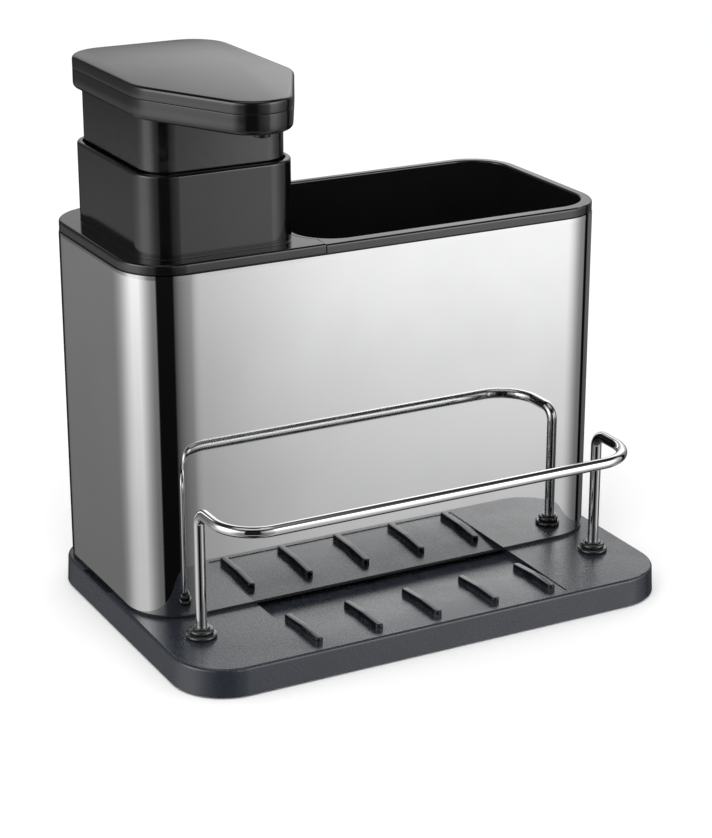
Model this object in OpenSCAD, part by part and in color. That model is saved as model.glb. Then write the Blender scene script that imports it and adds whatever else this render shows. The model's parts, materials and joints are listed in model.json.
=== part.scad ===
/* [Drip tray] */
// Ledge of the tray outside the holder, at each side
tray_side = 2.6; // [0.5:0.1:6]
// Depth of the tray in front of the holder
front_depth = 48.4; // [46:0.1:70]
// Ledge of the tray behind the holder
back_margin = 0.5; // [0:0.1:3]
// Height of the tray's side
tray_h = 10.6; // [9.6:0.1:14]
// Corner radius of the tray
tray_r = 21.4; // [18:0.1:26]
// Rounding of the tray's upper edge
tray_edge = 1.2; // [0.6:0.1:2]
// Distance that the tray's side leans out towards the floor
tray_flare_w = 0.5; // [0:0.1:1]
// Thickness of the tray's walls and skins
tray_wall = 2.4; // [1.8:0.1:3]
// Hollow height under the drip basin
under_h = 2.8; // [1.6:0.1:3.4]
// Width of the ledge that carries the holder
ledge_w = 6; // [5:0.5:9]
// Distance from the tray's side to the sponge bed
bed_side = 47.4; // [44:0.1:56]
// Distance from the tray's front edge to the bed
bed_front = 3.9; // [3:0.1:8]
// Step down into the level part of the bed
bed_step = 0.3; // [0.2:0.1:0.8]
// Run of the drain ramp in front of the holder
ramp_run = 28.4; // [20:0.1:34]
// Fall of the ramp where it passes under the holder
ramp_fall = 2.4; // [1.5:0.1:3.2]
// Length of the drain notch in each side ledge
notch_l = 24.6; // [15:0.1:40]
// Depth of the drain notch
notch_depth = 1.5; // [1:0.1:2.5]

/* [Sponge ribs] */
// Number of ribs under the sponge
rib_count = 5; // [3:1:7]
// Distance from the bed's side to the outer ribs
rib_side = 3.6; // [2:0.1:12]
// Distance from the tray's front edge to the ribs
rib_front = 6; // [5:0.1:12]
// Width of a rib
rib_w = 3.2; // [2:0.1:5]
// Height of a rib over the bed
rib_h = 3; // [2:0.1:5]
// Distance from the ribs' rear ends to the holder
rib_back = 14.8; // [8:0.1:20]

/* [Rail] */
// Thickness of the rail's wire
wire_d = 4.2; // [3:0.1:5]
// Distance from the holder's side to a post of the rail
post_side = 14.5; // [12:0.5:25]
// Distance from the holder's front to the posts
post_front = 16; // [10:0.5:20]
// Height of the rail's wire over the tray
rail_h = 49.4; // [30:0.1:80]
// Distance from the tray's front edge to the rail's bar
bar_front = 3.8; // [2.4:0.1:8]
// Tight bend at the top of a post
post_bend = 5; // [4:0.5:7]
// Round corner of the bar
bar_bend = 16; // [8:0.5:18]
// Width of a bushing's disc
bushing_d = 11.7; // [11:0.1:15]
// Width of a bushing's bead
bead_d = 9.3; // [8.5:0.1:10.8]
// Width of a bushing's lip around the wire
lip_d = 6.6; // [6:0.1:8]
// Width of a bushing's stem in the tray
bushing_stem_d = 7; // [6.4:0.1:8]

/* [Holder] */
// Width of the steel sleeve
body_w = 200; // [180:0.5:230]
// Depth of the steel sleeve
body_d = 92.2; // [84:0.1:110]
// Height of the steel sleeve
body_h = 132.4; // [115:0.1:160]
// Corner radius of the steel sleeve
body_r = 20; // [17:0.1:22]
// Thickness of the sheet steel
sheet_t = 0.6; // [0.5:0.1:1]
// Gap that shows between steel and tray
stand_off = 1; // [0.6:0.1:2]
// Thickness of the holder's floor
base_t = 2; // [1.6:0.1:3]
// Height of the holder floor's upright rim
base_rim_h = 7; // [4:0.5:12]

/* [Deck and brush cup] */
// Height of the flange band over the steel
flange_h = 3.6; // [3:0.1:5]
// Inset of the flange band from the steel's face
flange_inset = 0.4; // [0.2:0.1:1]
// Rounding of the flange band's upper edge
flange_edge = 1; // [0.6:0.1:1.6]
// Width of the rim in front of the cup and behind it
cup_margin = 5; // [4.2:0.1:8]
// Rounding of the opening's edge
cup_edge = 0.8; // [0.4:0.1:1.2]
// Corner radius of the cup's opening
cup_r = 15.5; // [12:0.1:18]
// Width of the rim at the cup's right
cup_rim = 4.8; // [4:0.1:8]
// Thickness of the cup's wall
cup_wall = 1.9; // [1.5:0.1:2.2]
// Thickness of the cup's floor
cup_floor = 2; // [1.5:0.1:3]
// Room under the cup
cup_lift = 5.6; // [2:0.1:30]
// Width of a drain hole in the cup
drain_d = 5; // [3:0.5:7]
// Step to the right from the cup's opening to the seam in the front band
seam_step = 3.8; // [1:0.1:6]

/* [Collar] */
// Width of the pump's collar
collar_w = 61.6; // [58:0.1:66]
// Distance from the holder's left side to the collar
collar_side = 7.6; // [6:0.1:10]
// Distance from the holder's front to the collar
collar_front = 7; // [4:0.1:12]
// Distance from the holder's back to the collar
collar_back = 9.8; // [4:0.1:16]
// Height of the collar over the deck
collar_h = 30.6; // [28:0.1:36]
// Corner radius of the collar
collar_r = 13; // [11:0.1:15]
// Thickness of the collar's wall
collar_wall = 2; // [1.6:0.1:2.2]

/* [Pump head] */
// Full stroke of the pump head
stroke = 18; // [12:0.5:18.5]
// Height of the lid at the side of the head
cover_h = 4.6; // [4.2:0.1:7]
// Height of the head's lower half
head_h = 7.4; // [6.6:0.05:10]
// Distance from the collar's rim up to the head
neck_h = 19.95; // [19.75:0.05:24]
// Overhang of the head past each side of the collar
head_past = 0.4; // [0:0.1:2]
// Overhang of the head past the back of the collar
back_past = 2.9; // [1:0.1:4]
// Distance from the collar's front back to where the head starts to taper
taper_start = 7.1; // [2:0.1:12]
// Reach of the nose past the front of the collar
nose_past = 37.1; // [30:0.1:42]
// Flat width of the nose's tip before rounding
nose_w = 17.2; // [16:0.1:24]
// Corner radius at the back of the head
head_back_r = 15.5; // [10:0.5:18]
// Corner radius where the taper starts
head_side_r = 22; // [16:0.5:30]
// Corner radius at the nose
nose_r = 14; // [9:0.1:14]
// Rounding of the head's lower edge
head_edge = 1.9; // [1:0.1:3]
// Rounding of the lid's upper edge
cover_edge = 1.4; // [0.8:0.1:2]
// Thickness of the head's walls
head_wall = 1.8; // [1.4:0.1:2.2]
// Height of the dark gap between collar and skirt
skirt_gap = 0.9; // [0.4:0.1:2]
// Distance from the tip of the nose to the middle of the outlet
nozzle_back = 6.8; // [6:0.1:10]
// Width of the outlet under the nose
nozzle_d = 6; // [5:0.1:7]
// Drop of the outlet under the nose
nozzle_drop = 1.7; // [1:0.1:4]

/* [Pump] */
// Bore of the pump's barrel
barrel_bore = 17; // [15:0.1:18]
// Wall of the pump's barrel
barrel_wall = 1.7; // [1.2:0.1:1.8]
// Free height of the pump's spring
spring_h = 31; // [29:0.5:40]
// Wire of the pump's spring
spring_wire = 1.1; // [0.8:0.1:1.2]
// Turns of the pump's spring
spring_turns = 8; // [5:1:9]
// Width of the stem
stem_d = 9; // [8:0.1:9.4]
// Bore of the stem
stem_bore = 5; // [4:0.1:5.2]
// Height of the piston
piston_h = 14.6; // [12:0.1:16]
// Width of the dip tube
tube_d = 6.9; // [6:0.1:7.2]
// Wall of the dip tube
tube_wall = 1; // [0.8:0.1:1.4]
// Width of the check ball at the foot of the barrel
inlet_ball_d = 6.4; // [5.6:0.1:6.6]
// Width of the check ball in the stem
outlet_ball_d = 5; // [4.4:0.1:5.2]
// Lift of a check ball off its seat
ball_lift = 1.2; // [0.8:0.1:1.6]

/* [Soap bottle] */
// Thickness of the bottle's wall
bottle_wall = 1.8; // [1.2:0.1:2.4]
// Thickness of the bottle's floor
bottle_floor = 2.4; // [1.6:0.1:3]
// Thickness of the gasket on the bottle's rim
gasket_t = 1; // [0.6:0.1:1.6]

/* [Feet and screws] */
// Width of a rubber foot
foot_d = 12; // [8:0.5:14]
// Distance from the tray's edges to the middle of a foot
foot_inset = 17; // [14:0.5:24]
// Thickness of a rubber foot
foot_t = 2; // [1.6:0.1:2.6]
// Height of a foot that stands out under the tray
foot_proud = 0.8; // [0.5:0.1:1.2]
// Width of a rail screw's head
screw_head_d = 6; // [5:0.1:7]
// Height of a rail screw's head
screw_head_h = 2; // [1.6:0.1:2.2]
// Thickness of a rail screw's shank
screw_d = 2.5; // [2:0.1:2.6]
// Length of a rail screw's shank
screw_l = 12; // [8:0.5:16]
// Thickness of a washer
washer_t = 0.8; // [0.6:0.1:1]
// Width of a washer
washer_d = 10; // [9:0.1:12]

/* [Clearances] */
// Gap between parts that lift out past each other
lift_gap = 0.3; // [0.25:0.05:0.6]
// Gap around the bottle in the holder
bottle_gap = 1.2; // [0.6:0.1:2]
// Running gap at the stem and the piston
run_gap = 0.05; // [0.02:0.01:0.1]
// Gap between the collar and the skirt
skirt_play = 0.6; // [0.4:0.1:1]

/* [Hidden] */
$fn = 64;
over = 1;

// Levels, from the floor up
tray_top = foot_proud + tray_h;
steel_low = tray_top + stand_off;
steel_top = steel_low + body_h;
deck_top = steel_top + flange_h;
collar_top = deck_top + collar_h;
head_low = collar_top + neck_h;
head_split = head_low + head_h;
head_top = head_split + cover_h;
skirt_low = collar_top + skirt_gap;
base_top = steel_low + base_t;

// Places, seen from above, with the tray's centre as the origin
tray_w = body_w + 2 * tray_side;
tray_d = front_depth + body_d + back_margin;
front_y = front_depth - tray_d / 2;
body_y = front_y + body_d / 2;
collar_d = body_d - collar_front - collar_back;
collar_margin = 0.3;
pump_x = -body_w / 2 + collar_side + collar_w / 2;
pump_y = front_y + collar_front + collar_d / 2;
deck_right = pump_x + collar_w / 2 + collar_margin;
cup_left = deck_right + lift_gap;
cup_w = body_w / 2 - cup_rim - cup_left - cup_wall;
cup_d = body_d - 2 * cup_margin;
cup_x = body_w / 2 - cup_rim - cup_w / 2;
post_x = body_w / 2 - post_side;
post_y = front_y - post_front;
bar_y = -tray_d / 2 + bar_front;

// Drip tray
basin_w = body_w - 2 * ledge_w;
basin_d = body_d - 2 * ledge_w;
basin_r = body_r - ledge_w;
basin_floor = foot_proud + under_h + tray_wall;
bed_w = tray_w - 2 * bed_side;
bed_y0 = -tray_d / 2 + bed_front;
bed_level = tray_top - bed_step;
ramp_y0 = front_y - ramp_run;
ramp_slope = ramp_fall / ramp_run;
ramp_y1 = ramp_y0 + (bed_level - basin_floor) / ramp_slope;
notch_lip = 1;
notch_shift = 2.3;
rib_l = front_depth - rib_front - rib_back;
rib_pitch = (bed_w - 2 * rib_side - rib_w) / (rib_count - 1);
foot_x = tray_w / 2 - foot_inset;
foot_y = tray_d / 2 - foot_inset;
foot_boss_d = foot_d + 2 * tray_wall;
web_t = 1.6;
web_lift = 0.8;
web_count = 4;

// Rail and its fastening
washer_gap = 0.6;
boss_low = foot_proud + screw_head_h + washer_t + washer_gap;
boss_d = 12.4;
rail_reach = post_y - bar_y;
rail_z = tray_top + rail_h;
disc_h = 1.5;
bead_h = 1.9;
lip_ring_h = 0.7;
post_low = boss_low;
tapped_play = 0.05;

// Holder floor
foot_ring_w = 4;
foot_ring_inset = 0.3;
lug_w = 14;
lug_t = 3;
lug_drop = 3;
lug_play = 0.8;
slot_w = 4;
slot_l = 46;
slot_pitch = 16;
slot_count = 6;

// Brush cup
cup_low = base_top + cup_lift;
drain_rows = 3;
drain_cols = 5;
drain_pitch = 18;
guide_w = 8;
guide_h = 10;
guide_shift = cup_w / 2 - cup_r - guide_w;

// Soap bottle
bottle_x0 = -body_w / 2 + sheet_t + bottle_gap;
bottle_x1 = cup_left - bottle_gap;
bottle_w = bottle_x1 - bottle_x0;
bottle_x = (bottle_x0 + bottle_x1) / 2;
bottle_d = body_d - 2 * (sheet_t + bottle_gap);
bottle_r = body_r - sheet_t - bottle_gap;
bottle_top = steel_top - gasket_t;
bottle_low = base_top;
plug_h = 5;
plug_wall = 1.8;

// Skirt and guide of the pump head
skirt_inset = collar_wall + skirt_play;
skirt_w = collar_w - 2 * skirt_inset;
skirt_d = collar_d - 2 * skirt_inset;
skirt_r = collar_r - skirt_inset;
skirt_wall = 1.6;
guide_inset = 0.9;
guide_wall = 1.5;
guide_spare = 1.5;
guide_low = deck_top + stroke + guide_spare;

// Head outline: corners as x, y, radius, first angle and turn about the pump axis
head_w = collar_w + 2 * head_past;
head_back = collar_d / 2 + back_past;
head_taper = collar_d / 2 - taper_start;
nose_reach = collar_d / 2 + nose_past;
side_turn = atan2(head_w / 2 - nose_w / 2, nose_reach - head_taper);
nose_turn = 90 - side_turn;
side_cut = head_side_r * tan(side_turn / 2);
nose_cut = nose_r * tan(nose_turn / 2);
head_corners = [
    [head_w / 2 - head_back_r, head_back - head_back_r, head_back_r, 0, 90],
    [head_w / 2 - head_side_r, -head_taper + side_cut, head_side_r, -side_turn, side_turn],
    [nose_w / 2 - nose_cut, -nose_reach + nose_r, nose_r, -90, nose_turn]
];
head_seam = 0.3;
edge_steps = 5;
lip_h = 2.2;
lip_t = 1.2;
lip_play = 0.1;
nozzle_y = nozzle_back - nose_reach;
nozzle_bore = 3.4;
duct_d = 7.6;
duct_bore = 4.4;
duct_sink = 0.4;
duct_z = head_low + head_wall + duct_d / 2 - duct_sink;
socket_d = 13;
socket_h = 12;
stem_top = duct_z - duct_bore / 2 + duct_sink;

// Pump engine
gland_gap = 0.1;
barrel_seat_t = 1;
barrel_flange_t = 1.6;
flange_low = deck_top + barrel_seat_t;
flange_top = flange_low + barrel_flange_t;
barrel_d = barrel_bore + 2 * barrel_wall;
deck_hole_d = barrel_d + 2 * lift_gap;
flange_lap = 2.5;
barrel_flange_d = deck_hole_d + 2 * flange_lap;
boss_wall = 1.7;
boss_play = 0.3;
boss_in_d = barrel_flange_d + 2 * boss_play;
boss_out_d = boss_in_d + 2 * boss_wall;
boss_h = 4;
cap_t = 1.6;
cap_depth = 5;
cap_stop = flange_top - cap_depth;
cap_guide_h = 7.4;
cap_guide_d = 13;
cap_top = flange_top + cap_t;
ring_wall = 2.6;
ring_h = 6.2;
ring_lip_t = 2.4;
ring_low = cap_top - ring_h + ring_lip_t;
ring_d = boss_out_d + 2 * (boss_play + ring_wall);
piston_top = cap_stop - gland_gap;
piston_low = piston_top - piston_h;
piston_d = 13.4;
seal_h = 6;
seal_lift = 3.4;
barrel_floor_top = piston_low - spring_h;
barrel_floor_t = 2;
vent_d = 1.6;
ball_play = 1;
ball_rise = 0.3;
cage_pin = 1.2;
seat_h = 1.7;
seat_bore = 4;
chamber_d = inlet_ball_d + ball_play;
inlet_rest = ball_rest(inlet_ball_d, chamber_d, seat_bore, seat_h);
chamber_h = inlet_rest + nib_rise(inlet_ball_d, chamber_d / 2 - cage_pin) + ball_lift + cage_pin;
foot_tube_wall = 1.9;
socket_depth = 12;
chamber_low = barrel_floor_top - chamber_h;
seat_low = chamber_low - seat_h;
nipple_top = seat_low - barrel_floor_t / 2;
nipple_low = nipple_top - socket_depth;
nipple_d = chamber_d + 2 * foot_tube_wall;
tube_lift = 2.4;
tube_low = bottle_low + bottle_floor + tube_lift;
spring_d = 13.6;
spring_core = spring_d - spring_wire;
coil_gap = 0.5;
spring_sides = 6;
spring_steps = 20;
spring_rings = spring_turns * spring_steps;
stem_drop = 2;
stem_low = piston_low - stem_drop;
valve_d = outlet_ball_d + ball_play;
valve_bore = stem_bore - 2 * cage_pin;
outlet_rest = ball_rest(outlet_ball_d, valve_d, valve_bore, seat_h);
valve_seat = duct_z - duct_bore / 2 - ball_lift - outlet_ball_d / 2 - outlet_rest - seat_h;
fit = 0.05;

// Height of a ball's centre over the wide edge of its seat, with the rise that keeps it clear
function ball_rest(ball, wide, narrow, depth) =
    let (lean = atan2(depth, (wide - narrow) / 2))
    ball / 2 / cos(lean) - wide / 2 * tan(lean) + ball_rise;

// Height over its centre at which a ball meets nibs at a radius
function nib_rise(ball, r) = sqrt(ball * ball / 4 - r * r);

// Flat rounded rectangle about its centre
module round_rect(w, d, r) {
    square([w - 2 * r, d], center = true);
    square([w, d - 2 * r], center = true);
    for (sx = [-1, 1], sy = [-1, 1]) {
        translate([sx * (w / 2 - r), sy * (d / 2 - r)]) circle(r = r);
    }
}

// Flat bar with half-round ends
module stadium(w, l) {
    square([w, l - w], center = true);
    for (s = [-1, 1]) {
        translate([0, s * (l - w) / 2]) circle(d = w);
    }
}

// Upright block with round corners between two levels
module block(w, d, r, z0, z1) {
    translate([0, 0, z0]) linear_extrude(z1 - z0) round_rect(w, d, r);
}

// Half section of a plate whose side leans in to a round upper edge
module edge_section(half, h, edge, draft) {
    top = half - draft;
    polygon([[0, 0], [half, 0], [top, h - edge], [top - edge, h], [0, h]]);
    translate([top - edge, h - edge]) circle(r = edge);
}

// Half section of an opening that flares out to a round upper edge
module mouth_section(half, h, edge) {
    square([half, h + over]);
    translate([half, h - edge])
        difference() {
            square([edge, edge + over]);
            translate([edge, 0]) circle(r = edge);
        }
}

// Block with round corners and a round upper edge, or with the flare of an opening
module soft_block(w, d, r, z0, h, edge, draft = 0, mouth = false) {
    translate([0, 0, z0]) {
        for (sx = [-1, 1], sy = [-1, 1]) {
            translate([sx * (w / 2 - r), sy * (d / 2 - r), 0])
                rotate_extrude()
                    if (mouth) {
                        mouth_section(r, h, edge);
                    } else {
                        edge_section(r, h, edge, draft);
                    }
        }
        for (turn = [0, 1], side = [0, 1]) {
            rotate([0, 0, 90 * turn])
                rotate([90, 0, 180 * side])
                    linear_extrude((turn == 0 ? d : w) - 2 * r, center = true)
                        if (mouth) {
                            mouth_section((turn == 0 ? w : d) / 2, h, edge);
                        } else {
                            edge_section((turn == 0 ? w : d) / 2, h, edge, draft);
                        }
        }
    }
}

// Ring about the Z axis
module ring(outer_d, inner_d, z0, z1) {
    difference() {
        translate([0, 0, z0]) cylinder(d = outer_d, h = z1 - z0);
        translate([0, 0, z0 - over]) cylinder(d = inner_d, h = z1 - z0 + 2 * over);
    }
}

// Both sides of the tray
module both_sides(x) {
    for (side = [-1, 1]) {
        translate([side * x, 0, 0]) children();
    }
}

// Side section of the bed from the tray's front to the basin, raised by a height
function bed_line(lift) = [
    [bed_y0, bed_level + lift],
    [ramp_y0, bed_level + lift],
    [ramp_y1, basin_floor + lift]
];

// Room over the bed, the ramp and the basin, and the side notches
module drain_room() {
    translate([0, body_y, 0]) block(basin_w, basin_d, basin_r, basin_floor, tray_top + over);
    rotate([90, 0, 90])
        linear_extrude(bed_w, center = true)
            polygon(concat(bed_line(0), [[ramp_y1, tray_top + over], [bed_y0, tray_top + over]]));
    translate([0, body_y + notch_shift, tray_top - notch_depth])
        linear_extrude(notch_depth + over)
            square([tray_w - 2 * notch_lip, notch_l], center = true);
}

// Ribs that lift the sponge off the bed and follow its fall
module sponge_ribs() {
    rib_y = front_y - rib_back - rib_l / 2;
    intersection() {
        rotate([90, 0, 90])
            linear_extrude(bed_w, center = true)
                polygon(concat(bed_line(rib_h), [for (i = [2 : -1 : 0]) bed_line(-tray_wall / 2)[i]]));
        for (i = [0 : rib_count - 1]) {
            translate([(i - (rib_count - 1) / 2) * rib_pitch, rib_y, foot_proud])
                linear_extrude(tray_h + rib_h)
                    stadium(rib_w, rib_l);
        }
    }
}

// Hollows under the tray
module tray_coring() {
    corner_w = (tray_w - bed_w) / 2 - 2 * tray_wall;
    corner_d = front_y + tray_d / 2 - 2 * tray_wall;
    block(tray_w - 2 * tray_wall, tray_d - 2 * tray_wall, tray_r - tray_wall,
        foot_proud - over, foot_proud + under_h);
    both_sides((tray_w - corner_w) / 2 - tray_wall)
        translate([0, front_y - tray_wall - corner_d / 2, 0])
            block(corner_w, corner_d, tray_r - tray_wall, foot_proud - over, tray_top - tray_wall);
    rotate([90, 0, 90])
        linear_extrude(bed_w, center = true)
            polygon(concat(bed_line(-tray_wall), [[ramp_y1, foot_proud - over], [bed_y0, foot_proud - over]]));
}

// Webs that stiffen the tray from below
module tray_webs() {
    span = basin_w / web_count;
    web_h = tray_h - web_lift - tray_wall / 2;
    for (i = [1 : web_count - 1]) {
        translate([(i - web_count / 2) * span - web_t / 2, -tray_d / 2 + tray_wall / 2, foot_proud + web_lift])
            cube([web_t, tray_d - tray_wall, web_h]);
    }
    for (y = [front_y, body_y]) {
        translate([-tray_w / 2 + tray_wall / 2, y - web_t / 2, foot_proud + web_lift])
            cube([tray_w - tray_wall, web_t, web_h]);
    }
}

// Bosses for the rail's posts and the feet
module tray_bosses() {
    both_sides(post_x)
        translate([0, post_y, boss_low]) cylinder(d = boss_d, h = tray_top - tray_edge - boss_low);
    for (sx = [-1, 1], sy = [-1, 1]) {
        translate([sx * foot_x, sy * foot_y, foot_proud])
            cylinder(d = foot_boss_d, h = tray_h - tray_wall / 2);
    }
}

module base_tray() {
    color("#4a4d52") {
        difference() {
            union() {
                difference() {
                    soft_block(tray_w, tray_d, tray_r, foot_proud, tray_h, tray_edge, tray_flare_w);
                    tray_coring();
                }
                tray_webs();
                tray_bosses();
            }
            drain_room();
            both_sides(post_x)
                translate([0, post_y, foot_proud])
                    cylinder(d = bushing_stem_d + 2 * fit, h = tray_h + over);
            for (sx = [-1, 1], sy = [-1, 1]) {
                translate([sx * foot_x, sy * foot_y, -over])
                    cylinder(d = foot_d + 2 * fit, h = foot_t + over);
            }
        }
        sponge_ribs();
    }
}

module tray_feet() {
    color("#1c1c1e")
        for (sx = [-1, 1], sy = [-1, 1]) {
            translate([sx * foot_x, sy * foot_y, 0]) cylinder(d = foot_d, h = foot_t);
        }
}

// One end of the rail: post, bend, arm and corner, seen from the post's foot
module rail_end(side) {
    arm_l = rail_reach - post_bend - bar_bend;
    difference() {
        translate([0, 0, post_low]) cylinder(d = wire_d, h = rail_z - post_bend - post_low);
        translate([0, 0, post_low - over]) cylinder(d = screw_d + 2 * tapped_play, h = screw_l + 2 * over);
    }
    translate([0, -post_bend, rail_z - post_bend])
        rotate([90, 0, 90]) rotate_extrude(angle = 90) translate([post_bend, 0]) circle(d = wire_d);
    translate([0, -post_bend, rail_z]) rotate([90, 0, 0]) cylinder(d = wire_d, h = arm_l);
    translate([-side * bar_bend, -post_bend - arm_l, rail_z])
        rotate([0, 0, side > 0 ? -90 : 180])
            rotate_extrude(angle = 90) translate([bar_bend, 0]) circle(d = wire_d);
}

module sponge_rail() {
    bar_l = 2 * (post_x - bar_bend);
    color("#d7d9db") {
        for (side = [-1, 1]) {
            translate([side * post_x, post_y, 0]) rail_end(side);
        }
        translate([-bar_l / 2, bar_y, rail_z]) rotate([0, 90, 0]) cylinder(d = wire_d, h = bar_l);
    }
}

module rail_bushings() {
    color("#2b2d30")
        both_sides(post_x)
            translate([0, post_y, 0])
                difference() {
                    union() {
                        translate([0, 0, boss_low]) cylinder(d = bushing_stem_d, h = tray_top - boss_low);
                        soft_disc(bushing_d, tray_top, disc_h);
                        soft_disc(bead_d, tray_top + disc_h, bead_h);
                        soft_disc(lip_d, tray_top + disc_h + bead_h, lip_ring_h);
                    }
                    translate([0, 0, boss_low - over])
                        cylinder(d = wire_d + 2 * fit, h = tray_h + disc_h + bead_h + lip_ring_h + 2 * over);
                }
}

// Disc with a round rim
module soft_disc(d, z0, h) {
    translate([0, 0, z0])
        rotate_extrude() {
            square([(d - h) / 2, h]);
            translate([(d - h) / 2, h / 2]) intersection() {
                circle(d = h);
                translate([0, -h / 2]) square([h / 2, h]);
            }
        }
}

module rail_washers() {
    color("#c4c7ca")
        both_sides(post_x)
            translate([0, post_y, 0]) ring(washer_d, screw_d + 4 * fit, boss_low - washer_t, boss_low);
}

module rail_screws() {
    recess_w = screw_d / 3;
    color("#b9bcbf")
        both_sides(post_x)
            translate([0, post_y, boss_low - washer_t])
                difference() {
                    union() {
                        cylinder(d = screw_d, h = screw_l);
                        translate([0, 0, -screw_head_h]) cylinder(d = screw_head_d, h = screw_head_h);
                    }
                    for (turn = [0, 90]) {
                        rotate([0, 0, turn])
                            translate([0, 0, -screw_head_h])
                                cube([screw_head_d / 2, recess_w, screw_head_h], center = true);
                    }
                }
}

// Lugs that keep the holder in the tray's basin
module base_lugs() {
    lug_y = basin_d / 2 - lug_play - lug_t / 2;
    lug_x = basin_w / 2 - basin_r - lug_w / 2;
    for (sx = [-1, 1], sy = [-1, 1]) {
        translate([sx * lug_x, sy * lug_y, tray_top - lug_drop])
            linear_extrude(lug_drop + stand_off + base_t / 2)
                rotate(90) stadium(lug_t, lug_w);
    }
}

module holder_base() {
    inner_w = body_w - 2 * (sheet_t + fit);
    inner_d = body_d - 2 * (sheet_t + fit);
    inner_r = body_r - sheet_t - fit;
    rim_w = bottle_gap - lift_gap;
    color("#1f2022")
        translate([0, body_y, 0]) {
            difference() {
                union() {
                    block(body_w - 2 * foot_ring_inset, body_d - 2 * foot_ring_inset,
                        body_r - foot_ring_inset, tray_top, steel_low);
                    block(inner_w, inner_d, inner_r, steel_low, base_top + base_rim_h);
                }
                block(inner_w - 2 * foot_ring_w, inner_d - 2 * foot_ring_w, inner_r - foot_ring_w,
                    tray_top - over, steel_low);
                block(inner_w - 2 * rim_w, inner_d - 2 * rim_w, inner_r - rim_w,
                    base_top, base_top + base_rim_h + over);
                for (i = [0 : slot_count - 1]) {
                    translate([cup_x + (i - (slot_count - 1) / 2) * slot_pitch, 0, steel_low - over])
                        linear_extrude(base_t + 2 * over) stadium(slot_w, slot_l);
                }
            }
            base_lugs();
        }
}

module steel_sleeve() {
    color("#cfd1d3")
        translate([0, body_y, 0])
            difference() {
                block(body_w, body_d, body_r, steel_low, steel_top);
                block(body_w - 2 * sheet_t, body_d - 2 * sheet_t, body_r - sheet_t,
                    steel_low - over, steel_top + over);
            }
}

// Outline shared by the cup's flange and the cut in the deck, grown by a gap
module cup_side(gap) {
    seam_x = cup_x - cup_w / 2 + seam_step - gap;
    grow = cup_wall + gap;
    translate([cup_x, body_y]) round_rect(cup_w + 2 * grow, cup_d + 2 * grow, cup_r + grow);
    translate([seam_x, body_y - body_d / 2]) square([body_w / 2 - seam_x, body_d]);
}

// Flange band around the top of the holder
module flange_band() {
    translate([0, body_y, 0])
        soft_block(body_w - 2 * flange_inset, body_d - 2 * flange_inset, body_r - flange_inset,
            steel_top, flange_h, flange_edge);
}

module brush_cup() {
    outer_w = cup_w + 2 * cup_wall;
    outer_d = cup_d + 2 * cup_wall;
    guide_t = (body_d - outer_d) / 2 - sheet_t - lift_gap + cup_wall / 2;
    color("#19191a")
        difference() {
            union() {
                intersection() {
                    flange_band();
                    translate([0, 0, steel_top]) linear_extrude(flange_h) cup_side(0);
                }
                translate([cup_x, body_y, 0])
                    block(outer_w, outer_d, cup_r + cup_wall, cup_low, steel_top + flange_h / 2);
                for (sx = [-1, 1], sy = [-1, 1]) {
                    translate([cup_x + sx * guide_shift, body_y, steel_top - guide_h])
                        mirror([0, sy < 0 ? 1 : 0, 0])
                            translate([-guide_w / 2, outer_d / 2 - cup_wall / 2, 0])
                                cube([guide_w, guide_t, guide_h]);
                }
            }
            translate([cup_x, body_y, 0])
                soft_block(cup_w, cup_d, cup_r, cup_low + cup_floor,
                    deck_top - cup_low - cup_floor, cup_edge, mouth = true);
            for (i = [0 : drain_cols - 1], j = [0 : drain_rows - 1]) {
                translate([cup_x + (i - (drain_cols - 1) / 2) * drain_pitch,
                        body_y + (j - (drain_rows - 1) / 2) * drain_pitch, cup_low - over])
                    cylinder(d = drain_d, h = cup_floor + 2 * over);
            }
        }
}

module soap_bottle() {
    color("#222325")
        translate([bottle_x, body_y, 0])
            difference() {
                block(bottle_w, bottle_d, bottle_r, bottle_low, bottle_top);
                block(bottle_w - 2 * bottle_wall, bottle_d - 2 * bottle_wall, bottle_r - bottle_wall,
                    bottle_low + bottle_floor, bottle_top + over);
            }
}

// Tall square collar that the head's skirt slides in
module collar_walls() {
    translate([pump_x, pump_y, 0])
        difference() {
            soft_block(collar_w, collar_d, collar_r, deck_top - flange_h / 2,
                collar_h + flange_h / 2, collar_wall / 2);
            block(collar_w - 2 * collar_wall, collar_d - 2 * collar_wall, collar_r - collar_wall,
                deck_top - flange_h, collar_top + over);
        }
}

module pump_deck() {
    plug_gap = bottle_wall + lift_gap;
    color("#1b1b1c")
        difference() {
            union() {
                difference() {
                    flange_band();
                    translate([0, 0, steel_top - over]) linear_extrude(flange_h + 2 * over) cup_side(lift_gap);
                }
                collar_walls();
                translate([bottle_x, body_y, 0])
                    difference() {
                        block(bottle_w - 2 * plug_gap, bottle_d - 2 * plug_gap, bottle_r - plug_gap,
                            steel_top - plug_h, steel_top + flange_h / 2);
                        block(bottle_w - 2 * (plug_gap + plug_wall), bottle_d - 2 * (plug_gap + plug_wall),
                            bottle_r - plug_gap - plug_wall, steel_top - plug_h - over, steel_top);
                    }
                translate([pump_x, pump_y, 0])
                    ring(boss_out_d, boss_in_d, deck_top - flange_h / 2, deck_top + boss_h);
            }
            translate([pump_x, pump_y, steel_top - over]) cylinder(d = deck_hole_d, h = flange_h + 2 * over);
            translate([pump_x, pump_y, deck_top]) cylinder(d = boss_in_d, h = boss_h + over);
        }
}

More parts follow.
